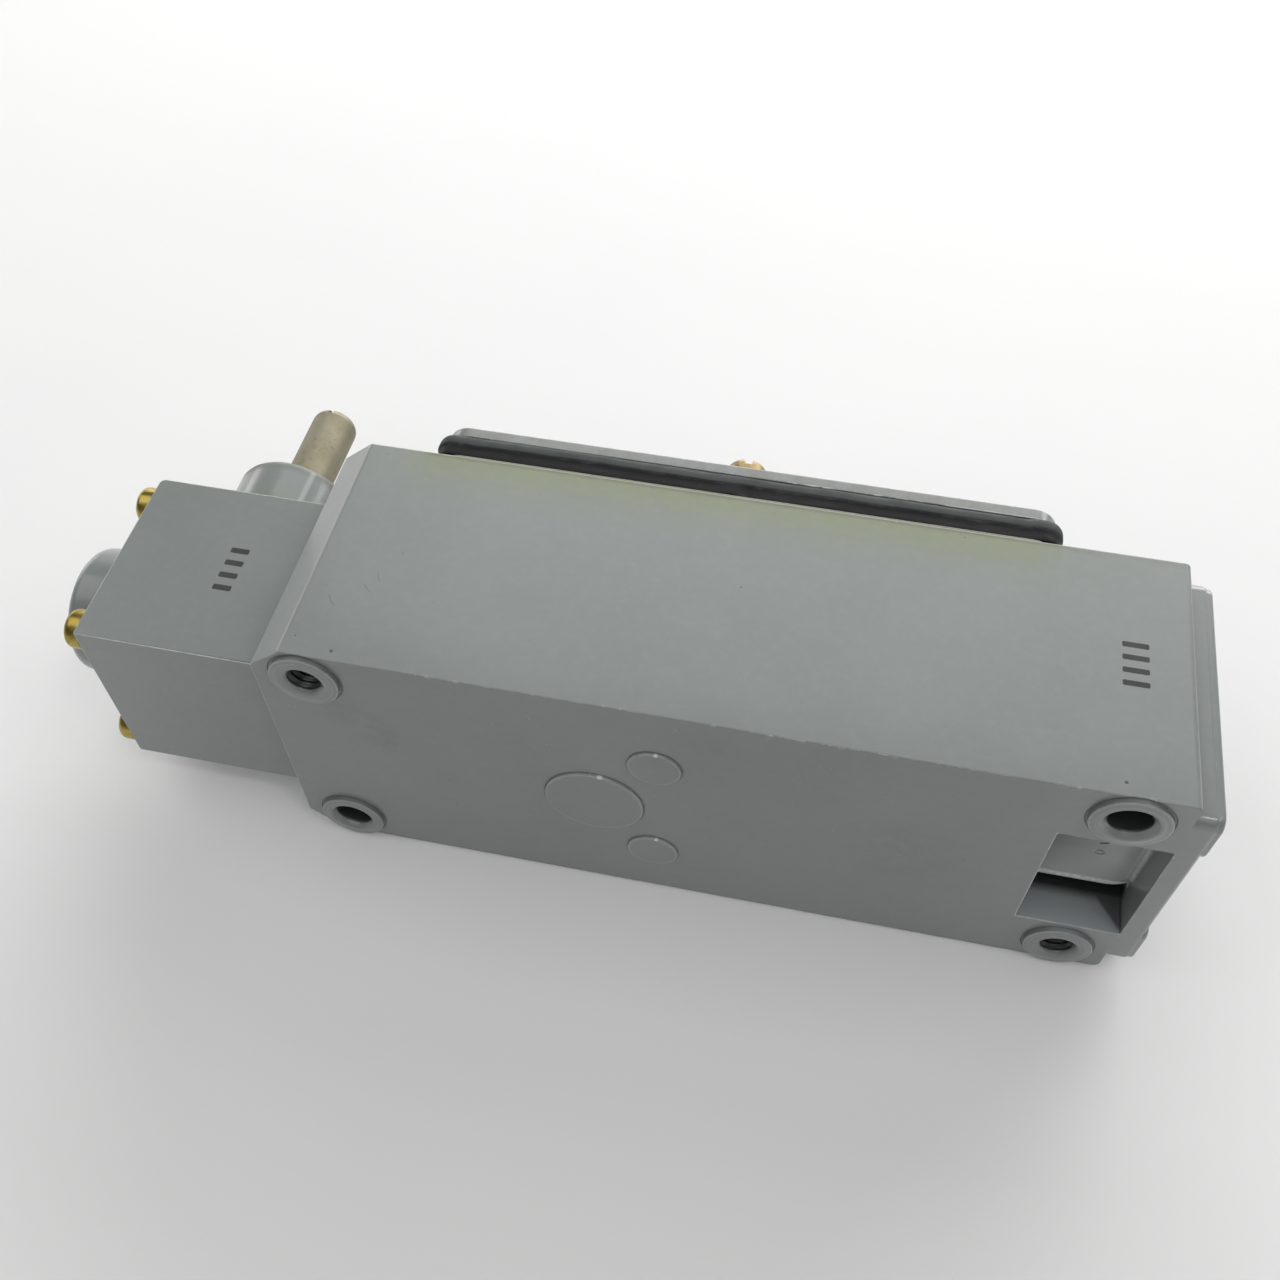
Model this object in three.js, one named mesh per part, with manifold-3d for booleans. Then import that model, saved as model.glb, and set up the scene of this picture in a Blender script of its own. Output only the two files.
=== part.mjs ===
// Heavy-duty limit switch with a square rotary head, lying on its side.
// Units are millimetres. +X runs from the operating head to the conduit end, +Y from the back
// (mounting) face to the cover and shaft side, +Z is up. The origin is the bottom centre of the
// bounding box. The pieces are drawn in the switch's own working axes, x = 0 at the start of the
// full-width body, y = 0 on the back face, z = 0 on the lower side, and one group moves them all.
import * as THREE from "three";
import { mergeVertices } from "three/addons/utils/BufferGeometryUtils.js";
import Module from "manifold-3d";

const wasm = await Module();
wasm.setup();

// ---- driving dimensions ------------------------------------------------------------------
const BODY_L = 146; // full-width body length
const BODY_W = 58.7; // body width, along z
const BODY_D = 48.46; // body depth, along y
const MID = BODY_W / 2; // z of the centre plane
const SHOULDER_X = -6, // head-end plane of the body
  SHOULDER_Z = 5.1; // how far the head-end corners are cut back
const STEP_X = 150.05, // conduit-end platform
  LUG_X = 150.7;
const LAND_Y = 49.4; // raised sealing land under the cover gasket
const GASKET_Y = [49.5, 54.1],
  COVER_Y = [54.2, 56.6];
const CAVITY = { x: [13, 121], z: [5.2, 53.5], floor: 5.2, r: 4 };
const PAD_R = 6.1,
  PAD_H = 1; // mounting pads
const HOLE_X = [3.46, 137.03],
  HOLE_DZ = 22.8; // mounting hole pattern: 133.57 by 45.6
const THRU_R = 3.35,
  THRU_MOUTH = 4.28,
  TAP_R = 3.15,
  TAP_DEPTH = 14;
const POCKET = { x: [127.85, 146.08], dz: 15.25, flat: 6.7, flatHalf: 9.05, groove: 11.5 };
const CONDUIT_R = 10.3,
  CONDUIT_Y = 24.2;
const HEAD = { x: [-41.43, -6.15], y: [3.27, 40.94], half: 19.05 };
const AXIS_X = -23.72, // shaft axis
  AXIS_Y = 22.1; // centre line of head, plunger and contact block
const BOSS_R = 12,
  BOSS_Y = 56.6; // shaft boss on the head's front
const CAP_R = 12,
  CAP_X = -52.25; // spring boss on the head's end
const HEAD_SCREW = 15; // corner screws, half spacing each way
const SHAFT_R = 4.76,
  SHAFT_Y = [6.2, 80]; // 3/8 in shaft
const CAM_R0 = 9.2,
  CAM_K = 1.8; // cam radius at rest, rise per radian
const COVER_SCREW_X = 68.2,
  COVER_SCREW_DZ = 23.65;
const FINENESS = 0.62; // share of the nominal facet counts that is drawn
const BLOCK_SCREW_X = [18.4, 81.6];
const OFFSET = [-49.225, -39.5, 0]; // bottom centre of the bounding box

// ---- geometry to solids -------------------------------------------------------------------
function solid(geometry) {
  const g = geometry.clone();
  g.deleteAttribute("normal");
  g.deleteAttribute("uv");
  const m = mergeVertices(g, 1e-4),
    src = m.index.array,
    keep = [];
  for (let i = 0; i < src.length; i += 3) {
    const [a, b, c] = [src[i], src[i + 1], src[i + 2]];
    if (a !== b && b !== c && a !== c) keep.push(a, b, c);
  }
  const build = (tri) =>
    new wasm.Manifold(
      new wasm.Mesh({
        numProp: 3,
        vertProperties: new Float32Array(m.attributes.position.array),
        triVerts: new Uint32Array(tri),
      }),
    );
  let s = build(keep);
  if (s.volume() < 0) {
    for (let i = 0; i < keep.length; i += 3) [keep[i + 1], keep[i + 2]] = [keep[i + 2], keep[i + 1]];
    s = build(keep);
  }
  return s;
}
function geometryOf(s) {
  const m = s.getMesh(),
    n = m.numProp,
    v = new Float32Array(m.numVert * 3);
  for (let i = 0; i < m.numVert; i++) v.set(m.vertProperties.subarray(i * n, i * n + 3), i * 3);
  const g = new THREE.BufferGeometry()
    .setAttribute("position", new THREE.BufferAttribute(v, 3))
    .setIndex(new THREE.BufferAttribute(new Uint32Array(m.triVerts), 1));
  g.computeVertexNormals();
  return g;
}
const box = (x, y, z) =>
  solid(
    new THREE.BoxGeometry(x[1] - x[0], y[1] - y[0], z[1] - z[0]).translate(
      (x[0] + x[1]) / 2,
      (y[0] + y[1]) / 2,
      (z[0] + z[1]) / 2,
    ),
  );
// cylinders and cones along Y, and along X
const seg = (n) => Math.max(10, 2 * Math.round(n * FINENESS * 0.5));
const cylY = (x, z, r, y0, y1, n = 28, r1 = r) =>
  solid(new THREE.CylinderGeometry(r1, r, y1 - y0, seg(n)).translate(x, (y0 + y1) / 2, z));
const cylX = (y, z, r, x0, x1, n = 28, r1 = r) =>
  solid(
    new THREE.CylinderGeometry(r1, r, x1 - x0, seg(n))
      .rotateZ(-Math.PI / 2)
      .translate((x0 + x1) / 2, y, z),
  );
// turned pieces: profile points are [radius, distance along the axis]
const lathe = (pts, n) => new THREE.LatheGeometry(pts.map((p) => new THREE.Vector2(p[0], p[1])), seg(n));
const latheY = (pts, x, z, n = 28) => solid(lathe(pts, n).translate(x, 0, z));
const latheX = (pts, y, z, n = 28) => solid(lathe(pts, n).rotateZ(-Math.PI / 2).translate(0, y, z));
// a plate with its outline in the xz plane, from y0 to y1
function plateY(shape, y0, y1, curveSegments = 6) {
  return solid(
    new THREE.ExtrudeGeometry(shape, { depth: y1 - y0, bevelEnabled: false, curveSegments })
      .rotateX(Math.PI / 2)
      .translate(0, y1, 0),
  );
}
// a closed outline with each corner rounded by its own radius
function rounded(points, radii) {
  const s = new THREE.Shape(),
    n = points.length,
    at = (i) => new THREE.Vector2(...points[(i + n) % n]);
  points.forEach((_, i) => {
    const p = at(i),
      a = at(i - 1).sub(p).normalize(),
      b = at(i + 1).sub(p).normalize(),
      r = Array.isArray(radii) ? radii[i] : radii,
      t = r / Math.tan(Math.acos(THREE.MathUtils.clamp(a.dot(b), -1, 1)) / 2),
      p0 = p.clone().addScaledVector(a, t),
      p1 = p.clone().addScaledVector(b, t);
    if (i === 0) s.moveTo(p0.x, p0.y);
    else s.lineTo(p0.x, p0.y);
    s.quadraticCurveTo(p.x, p.y, p1.x, p1.y);
  });
  s.closePath();
  return s;
}
const rect = (x, z, r) =>
  rounded(
    [
      [x[0], z[0]],
      [x[1], z[0]],
      [x[1], z[1]],
      [x[0], z[1]],
    ],
    r,
  );
const mirrorZ = (z) => 2 * MID - z;

const group = new THREE.Group();
group.position.set(...OFFSET);
function add(name, s, color, roughness, metalness) {
  const mesh = new THREE.Mesh(
    geometryOf(s),
    new THREE.MeshStandardMaterial({ color, roughness, metalness }),
  );
  mesh.name = name;
  group.add(mesh);
  return s;
}
const PAINT = [0x83898a, 0.45, 0.1],
  BRASS = [0xb08a3c, 0.35, 1],
  STEEL = [0x9c9688, 0.4, 1],
  RUBBER = [0x191a1b, 0.8, 0],
  BRONZE = [0x8f6a3a, 0.5, 1],
  BAKELITE = [0x2b2622, 0.6, 0],
  MOULDING = [0xd8d2c0, 0.6, 0],
  FIBRE = [0x6b4a35, 0.85, 0],
  SPRING = [0x8d8f90, 0.3, 1];

// ---- housing -------------------------------------------------------------------------------
{
  let s = plateY(
    rounded(
      [
        [SHOULDER_X, SHOULDER_Z],
        [0, 0],
        [BODY_L, 0],
        [BODY_L, BODY_W],
        [0, BODY_W],
        [SHOULDER_X, BODY_W - SHOULDER_Z],
      ],
      [1.2, 1.2, 1.5, 1.5, 1.2, 1.2],
    ),
    0,
    BODY_D,
    4,
  );
  s = s.add(box([BODY_L - 1, STEP_X], [0, BODY_D], [SHOULDER_Z, BODY_W - SHOULDER_Z]));
  s = s.add(box([STEP_X - 1, LUG_X], [0, BODY_D], [SHOULDER_Z, 16]));
  s = s.add(box([STEP_X - 1, LUG_X], [0, BODY_D], [43.4, BODY_W - SHOULDER_Z]));
  s = s.add(plateY(rect([12.8, 123.5], [0.7, BODY_W - 0.7], 3.6), BODY_D - 1, LAND_Y));
  // cavity, with the two cover screw bosses left standing against the side walls
  let cavity = plateY(rect(CAVITY.x, CAVITY.z, CAVITY.r), CAVITY.floor, LAND_Y + 5);
  for (const k of [-1, 1])
    cavity = cavity.subtract(cylY(COVER_SCREW_X, MID + k * COVER_SCREW_DZ, 4.9, 0, 60, 24));
  cavity = cavity.subtract(cylY(104, 12, 4.6, 0, 9, 20));
  s = s.subtract(cavity);
  for (const k of [-1, 1])
    s = s.subtract(cylY(COVER_SCREW_X, MID + k * COVER_SCREW_DZ, 2.4, 30, 60, 16));
  s = s.subtract(cylY(104, 12, 2.2, 5.8, 20, 12));
  // block screw holes in the floor
  for (const x of BLOCK_SCREW_X) s = s.subtract(cylY(x, MID, 1.9, 2.2, 20, 12));
  // pads and mounting holes
  for (const x of HOLE_X)
    for (const k of [-1, 1]) s = s.add(cylY(x, MID + k * HOLE_DZ, PAD_R, -PAD_H, 1, 36));
  const thru = [
      [HOLE_X[0], MID - HOLE_DZ],
      [HOLE_X[1], MID + HOLE_DZ],
    ],
    tap = [
      [HOLE_X[0], MID + HOLE_DZ],
      [HOLE_X[1], MID - HOLE_DZ],
    ];
  for (const [x, z] of thru) {
    s = s.subtract(cylY(x, z, THRU_R, -5, 60, 28));
    s = s.subtract(cylY(x, z, THRU_MOUTH, -PAD_H - 0.4, 0.6, 28, THRU_R - 0.2));
  }
  for (const [x, z] of tap) {
    s = s.subtract(cylY(x, z, TAP_R, -5, TAP_DEPTH, 28));
    s = s.subtract(cylY(x, z, TAP_R + 0.9, -PAD_H - 0.4, 0.1, 28, TAP_R - 0.2));
  }
  // pocket in the back face round the conduit hub: flat in the middle, sloping to two grooves
  const h = POCKET.flatHalf,
    d = POCKET.dz,
    pocket = new THREE.Shape();
  pocket.moveTo(-5, MID - d);
  pocket.lineTo(POCKET.groove, MID - d);
  pocket.lineTo(POCKET.groove, MID - d + 2);
  pocket.lineTo(POCKET.flat, MID - h);
  pocket.lineTo(POCKET.flat, MID + h);
  pocket.lineTo(POCKET.groove, MID + d - 2);
  pocket.lineTo(POCKET.groove, MID + d);
  pocket.lineTo(-5, MID + d);
  pocket.closePath();
  // outline in (y, z) pushed along x
  const pg = new THREE.ExtrudeGeometry(pocket, {
    depth: POCKET.x[1] - POCKET.x[0],
    bevelEnabled: false,
  });
  pg.applyMatrix4(new THREE.Matrix4().set(0, 0, 1, POCKET.x[0], 1, 0, 0, 0, 0, 1, 0, 0, 0, 0, 0, 1));
  s = s.subtract(solid(pg));
  // conduit entry
  s = s.subtract(cylX(CONDUIT_Y, MID, CONDUIT_R, CAVITY.x[1] - 3, LUG_X + 5, 40));
  s = s.subtract(cylX(CONDUIT_Y, MID, CONDUIT_R - 1, STEP_X - 1.4, STEP_X + 0.6, 40, CONDUIT_R + 1));
  // plunger guide bore and head screw holes in the head-end wall
  s = s.subtract(cylX(AXIS_Y, MID, 7, -20, CAVITY.x[0] + 5, 32));
  for (const a of [-1, 1])
    for (const b of [-1, 1])
      s = s.subtract(cylX(AXIS_Y + a * HEAD_SCREW, MID + b * HEAD_SCREW, 2.3, -20, 9.5, 16));
  add("housing", s, ...PAINT);
}

// ---- cover, gasket and captive screws --------------------------------------------------------
{
  let g = plateY(rect([11, 125.3], [0.3, BODY_W - 0.3], 3.6), ...GASKET_Y);
  g = g.subtract(plateY(rect([18, 118.3], [8, BODY_W - 8], 4), 40, 60));
  let c = plateY(rect([12.1, 124.3], [0.7, BODY_W - 0.7], 3.8), ...COVER_Y);
  c = c.add(plateY(rect([18.5, 117.8], [8.5, BODY_W - 8.5], 3.5), 51.5, COVER_Y[0] + 0.5));
  c = c.subtract(plateY(rect([21.5, 114.8], [11.5, BODY_W - 11.5], 2.5), 50, COVER_Y[0]));
  [-1, 1].forEach((k, i) => {
    const z = MID + k * COVER_SCREW_DZ;
    g = g.add(cylY(COVER_SCREW_X, z, 4.85, ...GASKET_Y, 24)).subtract(cylY(COVER_SCREW_X, z, 4.15, 40, 60, 24));
    c = c.subtract(cylY(COVER_SCREW_X, z, 6.4, 40, COVER_Y[0], 24));
    c = c.subtract(cylY(COVER_SCREW_X, z, 2.5, 40, 70, 20));
    let h = latheY(
      [
        [0, 33],
        [1.6, 33],
        [2.08, 33.6],
        [2.08, 56.9],
        [3.6, 56.9],
        [3.9, 57.3],
        [3.9, 59.1],
        [3.4, 60.2],
        [2.2, 60.8],
        [0, 60.9],
      ],
      COVER_SCREW_X,
      z,
      24,
    );
    h = h.subtract(box([COVER_SCREW_X - 0.65, COVER_SCREW_X + 0.65], [58.9, 63], [z - 6, z + 6]));
    add("cover_screw_" + (i + 1), h, ...BRASS);
    add(
      "cover_screw_retainer_" + (i + 1),
      latheY(
        [
          [2.4, 51],
          [3.9, 51],
          [3.9, 52],
          [2.4, 52],
          [2.4, 51],
        ],
        COVER_SCREW_X,
        z,
        20,
      ),
      ...FIBRE,
    );
  });
  add("cover_gasket", g, ...RUBBER);
  add("cover", c, ...PAINT);
}

// ---- operating head ---------------------------------------------------------------------------
{
  const z = [MID - HEAD.half, MID + HEAD.half];
  let s = box(HEAD.x, HEAD.y, z);
  s = s.add(
    latheY(
      [
        [0, HEAD.y[1] - 2],
        [BOSS_R, HEAD.y[1] - 2],
        [BOSS_R, BOSS_Y - 1.4],
        [BOSS_R - 0.5, BOSS_Y - 0.4],
        [BOSS_R - 1.4, BOSS_Y],
        [0, BOSS_Y],
      ],
      AXIS_X,
      MID,
      40,
    ),
  );
  s = s.add(
    latheX(
      [
        [0, CAP_X],
        [CAP_R - 2.6, CAP_X],
        [CAP_R - 0.8, CAP_X + 0.8],
        [CAP_R, CAP_X + 2.6],
        [CAP_R, HEAD.x[0] + 2],
        [0, HEAD.x[0] + 2],
      ],
      AXIS_Y,
      MID,
      40,
    ),
  );
  // cam room, open towards the body, and the spring bore behind it
  s = s.subtract(box([AXIS_X - 13.2, HEAD.x[1] + 5], [AXIS_Y - 10.5, AXIS_Y + 10.5], [MID - 13, MID + 13]));
  s = s.subtract(cylX(AXIS_Y, MID, 7.6, -49.5, AXIS_X - 10, 28));
  // shaft bores
  s = s.subtract(cylY(AXIS_X, MID, 6.8, 5.4, 20, 28));
  s = s.subtract(cylY(AXIS_X, MID, 7.5, 25, BOSS_Y + 5, 32));
  // groove for the head gasket
  const ring = (a, b, x0, x1) =>
    box([x0, x1], [AXIS_Y - a, AXIS_Y + a], [MID - b, MID + b]);
  s = s.subtract(ring(12.6, 15.1, -7.5, 0).subtract(ring(11.2, 13.7, -9, 5)));
  add("head_gasket", ring(12.4, 14.9, -7.35, -6.3).subtract(ring(11.4, 13.9, -9, 5)), ...RUBBER);
  let i = 0;
  for (const b of [1, -1])
    for (const a of [1, -1]) {
      const y = AXIS_Y + a * HEAD_SCREW,
        zz = MID + b * HEAD_SCREW;
      s = s.subtract(cylX(y, zz, 2.3, -60, 5, 16));
      let h = latheX(
        [
          [0, -44.85],
          [2, -44.8],
          [3.1, -44.4],
          [3.6, -43.5],
          [3.6, -41.75],
          [2.08, -41.75],
          [2.08, 8],
          [1.6, 8.6],
          [0, 8.6],
        ],
        y,
        zz,
        20,
      );
      h = h.subtract(box([-50, -43.5], [y - 6, y + 6], [zz - 0.5, zz + 0.5]));
      add("head_screw_" + ++i, h, ...BRASS);
    }
  add("head_housing", s, ...PAINT);
}

// ---- shaft, cam and its bearings ---------------------------------------------------------------
{
  let s = latheY(
    [
      [0, SHAFT_Y[0]],
      [SHAFT_R - 0.6, SHAFT_Y[0]],
      [SHAFT_R, SHAFT_Y[0] + 0.6],
      [SHAFT_R, 31.5],
      [4.1, 31.5],
      [4.1, 32.4],
      [SHAFT_R, 32.4],
      [SHAFT_R, SHAFT_Y[1] - 1.2],
      [SHAFT_R - 0.5, SHAFT_Y[1] - 0.4],
      [SHAFT_R - 1.3, SHAFT_Y[1]],
      [0, SHAFT_Y[1]],
    ],
    AXIS_X,
    MID,
    36,
  );
  s = s.subtract(
    solid(
      new THREE.BoxGeometry(1.2, 3.2, 20)
        .translate(AXIS_X, SHAFT_Y[1], MID),
    ),
  );
  const pinHole = cylX(29.2, MID, 1.35, AXIS_X - 12, AXIS_X + 12, 12);
  s = s.subtract(pinHole);
  add("operating_shaft", s, ...STEEL);

  // constant-breadth spiral: the radius rises by CAM_K per radian towards the plunger side
  const cam = new THREE.Shape(),
    N = 48;
  for (let i = 0; i < N; i++) {
    const a = (i / N) * 2 * Math.PI - Math.PI / 2,
      r = a <= Math.PI / 2 ? CAM_R0 + CAM_K * a : CAM_R0 - CAM_K * (a - Math.PI),
      x = AXIS_X + r * Math.cos(a),
      z = MID + r * Math.sin(a);
    if (i) cam.lineTo(x, z);
    else cam.moveTo(x, z);
  }
  cam.closePath();
  const c = plateY(cam, AXIS_Y - 5, AXIS_Y + 5, 1)
    .add(cylY(AXIS_X, MID, 7.2, AXIS_Y + 4, 31.2, 28))
    .subtract(cylY(AXIS_X, MID, SHAFT_R + 0.2, 0, 60, 36))
    .subtract(pinHole);
  add("shaft_cam", c, ...STEEL);
  add("cam_pin", cylX(29.2, MID, 1.1, AXIS_X - 6.9, AXIS_X + 6.9, 12), ...SPRING);

  const bush = (y0, y1, ro) =>
    cylY(AXIS_X, MID, ro, y0, y1, 36).subtract(cylY(AXIS_X, MID, SHAFT_R + 0.09, y0 - 5, y1 + 5, 36));
  add("shaft_bushing_rear", bush(5.7, 11.4, 6.6), ...BRONZE);
  add("shaft_bushing_front", bush(33, 49, 7.25), ...BRONZE);
  add(
    "shaft_seal",
    latheY(
      [
        [5.6, 49.3],
        [7.2, 49.3],
        [7.2, 55.9],
        [5.9, 55.9],
        [5.05, 54.6],
        [5.05, 53.4],
        [5.6, 52.6],
        [5.6, 49.3],
      ],
      AXIS_X,
      MID,
      32,
    ),
    ...RUBBER,
  );
  add(
    "shaft_retaining_ring",
    cylY(AXIS_X, MID, 6.6, 31.6, 32.3, 24)
      .subtract(cylY(AXIS_X, MID, 4.35, 30, 34, 24))
      .subtract(box([AXIS_X + 1, AXIS_X + 12], [30, 34], [MID - 1.6, MID + 1.6])),
    ...SPRING,
  );
}

// ---- helical springs along X -------------------------------------------------------------------
class Helix extends THREE.Curve {
  constructor(x0, x1, y, z, r, turns) {
    super();
    Object.assign(this, { x0, x1, y, z, r, turns });
  }
  getPoint(t, target = new THREE.Vector3()) {
    const a = t * this.turns * 2 * Math.PI;
    return target.set(
      this.x0 + (this.x1 - this.x0) * t,
      this.y + this.r * Math.cos(a),
      this.z + this.r * Math.sin(a),
    );
  }
}
function spring(x0, x1, y, z, r, wire, turns) {
  const s = new THREE.Shape();
  for (let i = 0; i < 5; i++) {
    const a = (i / 5) * 2 * Math.PI;
    if (i) s.lineTo(wire * Math.cos(a), wire * Math.sin(a));
    else s.moveTo(wire, 0);
  }
  s.closePath();
  return solid(
    new THREE.ExtrudeGeometry(s, {
      steps: Math.round(turns * 10),
      bevelEnabled: false,
      extrudePath: new Helix(x0 + wire, x1 - wire, y, z, r, turns),
    }),
  );
}

// ---- plunger, follower and their guides ----------------------------------------------------------
const NOSE = CAM_R0 + 0.3;
{
  const x0 = AXIS_X + NOSE;
  add(
    "plunger",
    latheX(
      [
        [0, x0],
        [1.6, x0 + 0.3],
        [2.8, x0 + 1.1],
        [3.4, x0 + 2.4],
        [3.4, 25.2],
        [3, 25.7],
        [0, 25.7],
      ],
      AXIS_Y,
      MID,
      28,
    ),
    ...STEEL,
  );
  add(
    "plunger_guide",
    latheX(
      [
        [3.5, -1.2],
        [5.6, -1.2],
        [5.6, -5.7],
        [6.75, -5.7],
        [6.75, 13.3],
        [9.2, 13.3],
        [9.2, 15],
        [3.5, 15],
        [3.5, -1.2],
      ],
      AXIS_Y,
      MID,
      28,
    ),
    ...BRONZE,
  );
  add(
    "plunger_seal",
    latheX(
      [
        [3.65, -5.3],
        [5.4, -5.3],
        [5.4, -1.6],
        [3.65, -1.6],
        [3.65, -5.3],
      ],
      AXIS_Y,
      MID,
      24,
    ),
    ...RUBBER,
  );
  const f = AXIS_X - NOSE;
  add(
    "spring_follower",
    latheX(
      [
        [0, f],
        [1.6, f - 0.3],
        [2.8, f - 1.1],
        [3.4, f - 2.4],
        [3.4, -38.2],
        [7.2, -38.2],
        [7.2, -40.6],
        [3.6, -40.6],
        [3.6, -42.4],
        [0, -42.4],
      ],
      AXIS_Y,
      MID,
      28,
    ),
    ...STEEL,
  );
  add("head_spring", spring(-49.2, -40.9, AXIS_Y, MID, 5.5, 0.7, 4), ...SPRING);
}

// ---- contact block ---------------------------------------------------------------------------------
const BLOCK = { x: [22, 78], y: [5.5, 27], half: 17.3 };
const CONTACT_Y = [20.4, 23.4];
const A_BAR = [34.5, 37.5],
  B_BAR = [50.5, 53.5]; // moving bridges at rest
const A_FACE = 40.1,
  B_FACE = 47.9; // faces of the fixed contacts
const TERMINAL = { A: 29.5, B: 64 };
{
  const zc = MID,
    half = BLOCK.half;
  let s = box(BLOCK.x, BLOCK.y, [zc - half, zc + half]);
  s = s.add(box([15.2, 22.5], [5.5, 9], [zc - 8, zc + 8])).add(box([77.5, 84.8], [5.5, 9], [zc - 8, zc + 8]));
  s = s.subtract(box([10, 75], [16.8, 40], [zc - 6, zc + 6]));
  s = s.subtract(box([31.8, 42.5], [20, 40], [zc - 16.2, zc + 16.2]));
  s = s.subtract(box([45.5, 56.2], [20, 40], [zc - 16.2, zc + 16.2]));
  for (const x of BLOCK_SCREW_X) s = s.subtract(cylY(x, zc, 2.1, 0, 20, 14));
  const screwZ = [zc - 12.2, zc + 12.2];
  for (const x of Object.values(TERMINAL))
    for (const z of screwZ) s = s.subtract(cylY(x, z, 1.9, 18, 40, 12));
  add("contact_block", s, ...BAKELITE);

  let lid = box([22.3, 77.7], [27.3, 29.3], [zc - 7.4, zc + 7.4]);
  lid = lid.subtract(box([57, 73], [20, 40], [zc - 2.2, zc + 2.2]));
  add("contact_block_cover", lid, ...FIBRE);

  // carrier with windows for the two bridges and a spring seat at its far end
  let c = box([26, 60], [17.1, 26.7], [zc - 5.6, zc + 5.6]);
  for (const b of [A_BAR, B_BAR])
    c = c.subtract(box([b[0] - 0.3, b[1] + 0.3], [CONTACT_Y[0] - 0.3, CONTACT_Y[1] + 0.3], [zc - 10, zc + 10]));
  c = c.add(cylX(21.9, zc, 2.4, 59.5, 63, 20));
  add("contact_carrier", c, ...MOULDING);
  add("carrier_spring", spring(60.3, 74.7, 21.9, zc, 3.7, 0.5, 6), ...SPRING);

  [A_BAR, B_BAR].forEach((b, i) => {
    let m = box([b[0] + 1, b[1] - 1], CONTACT_Y, [zc - 15.4, zc + 15.4]);
    for (const k of [-1, 1])
      m = m.add(cylX(21.9, zc + k * 13, 1.45, b[0], b[1], 16));
    add("moving_contact_" + (i + 1), m, 0xb46a3c, 0.35, 1);
  });

  let n = 0;
  for (const [face, dir, term] of [
    [A_FACE, 1, TERMINAL.A],
    [B_FACE, -1, TERMINAL.B],
  ])
    for (const k of [-1, 1]) {
      const z = k < 0 ? [zc - 16, zc - 9] : [zc + 9, zc + 16],
        tab = dir > 0 ? [face, face + 1.6] : [face - 1.6, face],
        strip = dir > 0 ? [term - 4.5, face + 1.6] : [face - 1.6, term + 4.5];
      let m = box(tab, [20.5, 28.7], z).add(box(strip, [27.3, 28.7], z));
      m = m.subtract(cylY(term, zc + k * 12.2, 2.3, 20, 40, 12));
      add("fixed_contact_" + ++n, m, ...BRASS);
      let h = latheY(
        [
          [0, 19],
          [1.7, 19],
          [1.7, 29],
          [3.3, 29],
          [3.3, 30.6],
          [2.4, 31.4],
          [0, 31.5],
        ],
        term,
        zc + k * 12.2,
        16,
      );
      h = h.subtract(box([term - 6, term + 6], [30.4, 34], [zc + k * 12.2 - 0.45, zc + k * 12.2 + 0.45]));
      add("terminal_screw_" + n, h, ...STEEL);
    }
  BLOCK_SCREW_X.forEach((x, i) => {
    let h = latheY(
      [
        [0, 3],
        [1.7, 3],
        [1.7, 9.3],
        [3.2, 9.3],
        [3.2, 10.6],
        [2.2, 11.4],
        [0, 11.5],
      ],
      x,
      zc,
      16,
    );
    h = h.subtract(box([x - 0.45, x + 0.45], [10.5, 14], [zc - 6, zc + 6]));
    add("block_screw_" + (i + 1), h, ...STEEL);
  });
  let g = latheY(
    [
      [0, 6.4],
      [2, 6.4],
      [2, 9.3],
      [4, 9.3],
      [4, 11],
      [2.8, 11.8],
      [0, 11.9],
    ],
    104,
    12,
    16,
  );
  g = g.subtract(box([103.5, 104.5], [10.8, 14], [6, 18]));
  add("ground_screw", g, 0x4c8a4a, 0.45, 0.6);
}

export default group;
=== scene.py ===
import math
import random

import bmesh
import bpy
from mathutils import Matrix, Vector


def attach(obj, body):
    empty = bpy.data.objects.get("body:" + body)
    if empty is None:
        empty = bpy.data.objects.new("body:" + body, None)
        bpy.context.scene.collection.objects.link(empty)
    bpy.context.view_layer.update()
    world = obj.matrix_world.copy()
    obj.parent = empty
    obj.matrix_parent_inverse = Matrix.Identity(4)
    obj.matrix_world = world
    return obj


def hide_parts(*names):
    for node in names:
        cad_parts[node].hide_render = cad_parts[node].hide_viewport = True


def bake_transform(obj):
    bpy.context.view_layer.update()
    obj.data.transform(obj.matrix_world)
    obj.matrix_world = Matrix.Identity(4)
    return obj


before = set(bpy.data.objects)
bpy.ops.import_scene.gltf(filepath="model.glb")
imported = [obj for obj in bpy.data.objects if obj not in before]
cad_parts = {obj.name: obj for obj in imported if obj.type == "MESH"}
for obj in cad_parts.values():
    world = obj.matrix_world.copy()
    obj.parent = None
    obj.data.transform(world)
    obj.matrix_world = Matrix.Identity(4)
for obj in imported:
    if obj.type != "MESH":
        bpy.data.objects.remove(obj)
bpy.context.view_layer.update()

# ------------------------------------------------------------------ working axes
# Shapes are drawn in millimetres in the switch's own working axes and moved to the row frame at the end.
OFF = Vector((-49.225, -39.5, 0.0))
TO_ROW = Matrix.Scale(0.001, 4) @ Matrix.Translation(OFF)


def P(x, y, z):
    return tuple((Vector((x, y, z)) + OFF) * 0.001)


BODY_L, BODY_W, BODY_D = 146.0, 58.7, 48.46
MID = BODY_W / 2
AX, AY = -23.72, 22.1
PLAT_Z = 4.0
HOLES = [(3.46, -22.8), (137.03, 22.8), (3.46, 22.8), (137.03, -22.8)]  # two plain, two tapped
COVER_SCREW = (68.2, 23.65)
GLINTS = ((53.2, 37.25, 0.0008), (62.9, 47.45, 0.0006), (63.1, 18.65, 0.0006))

scene = bpy.context.scene
coll = scene.collection
rng = random.Random(7)

# ------------------------------------------------------------------ mesh helpers


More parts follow.
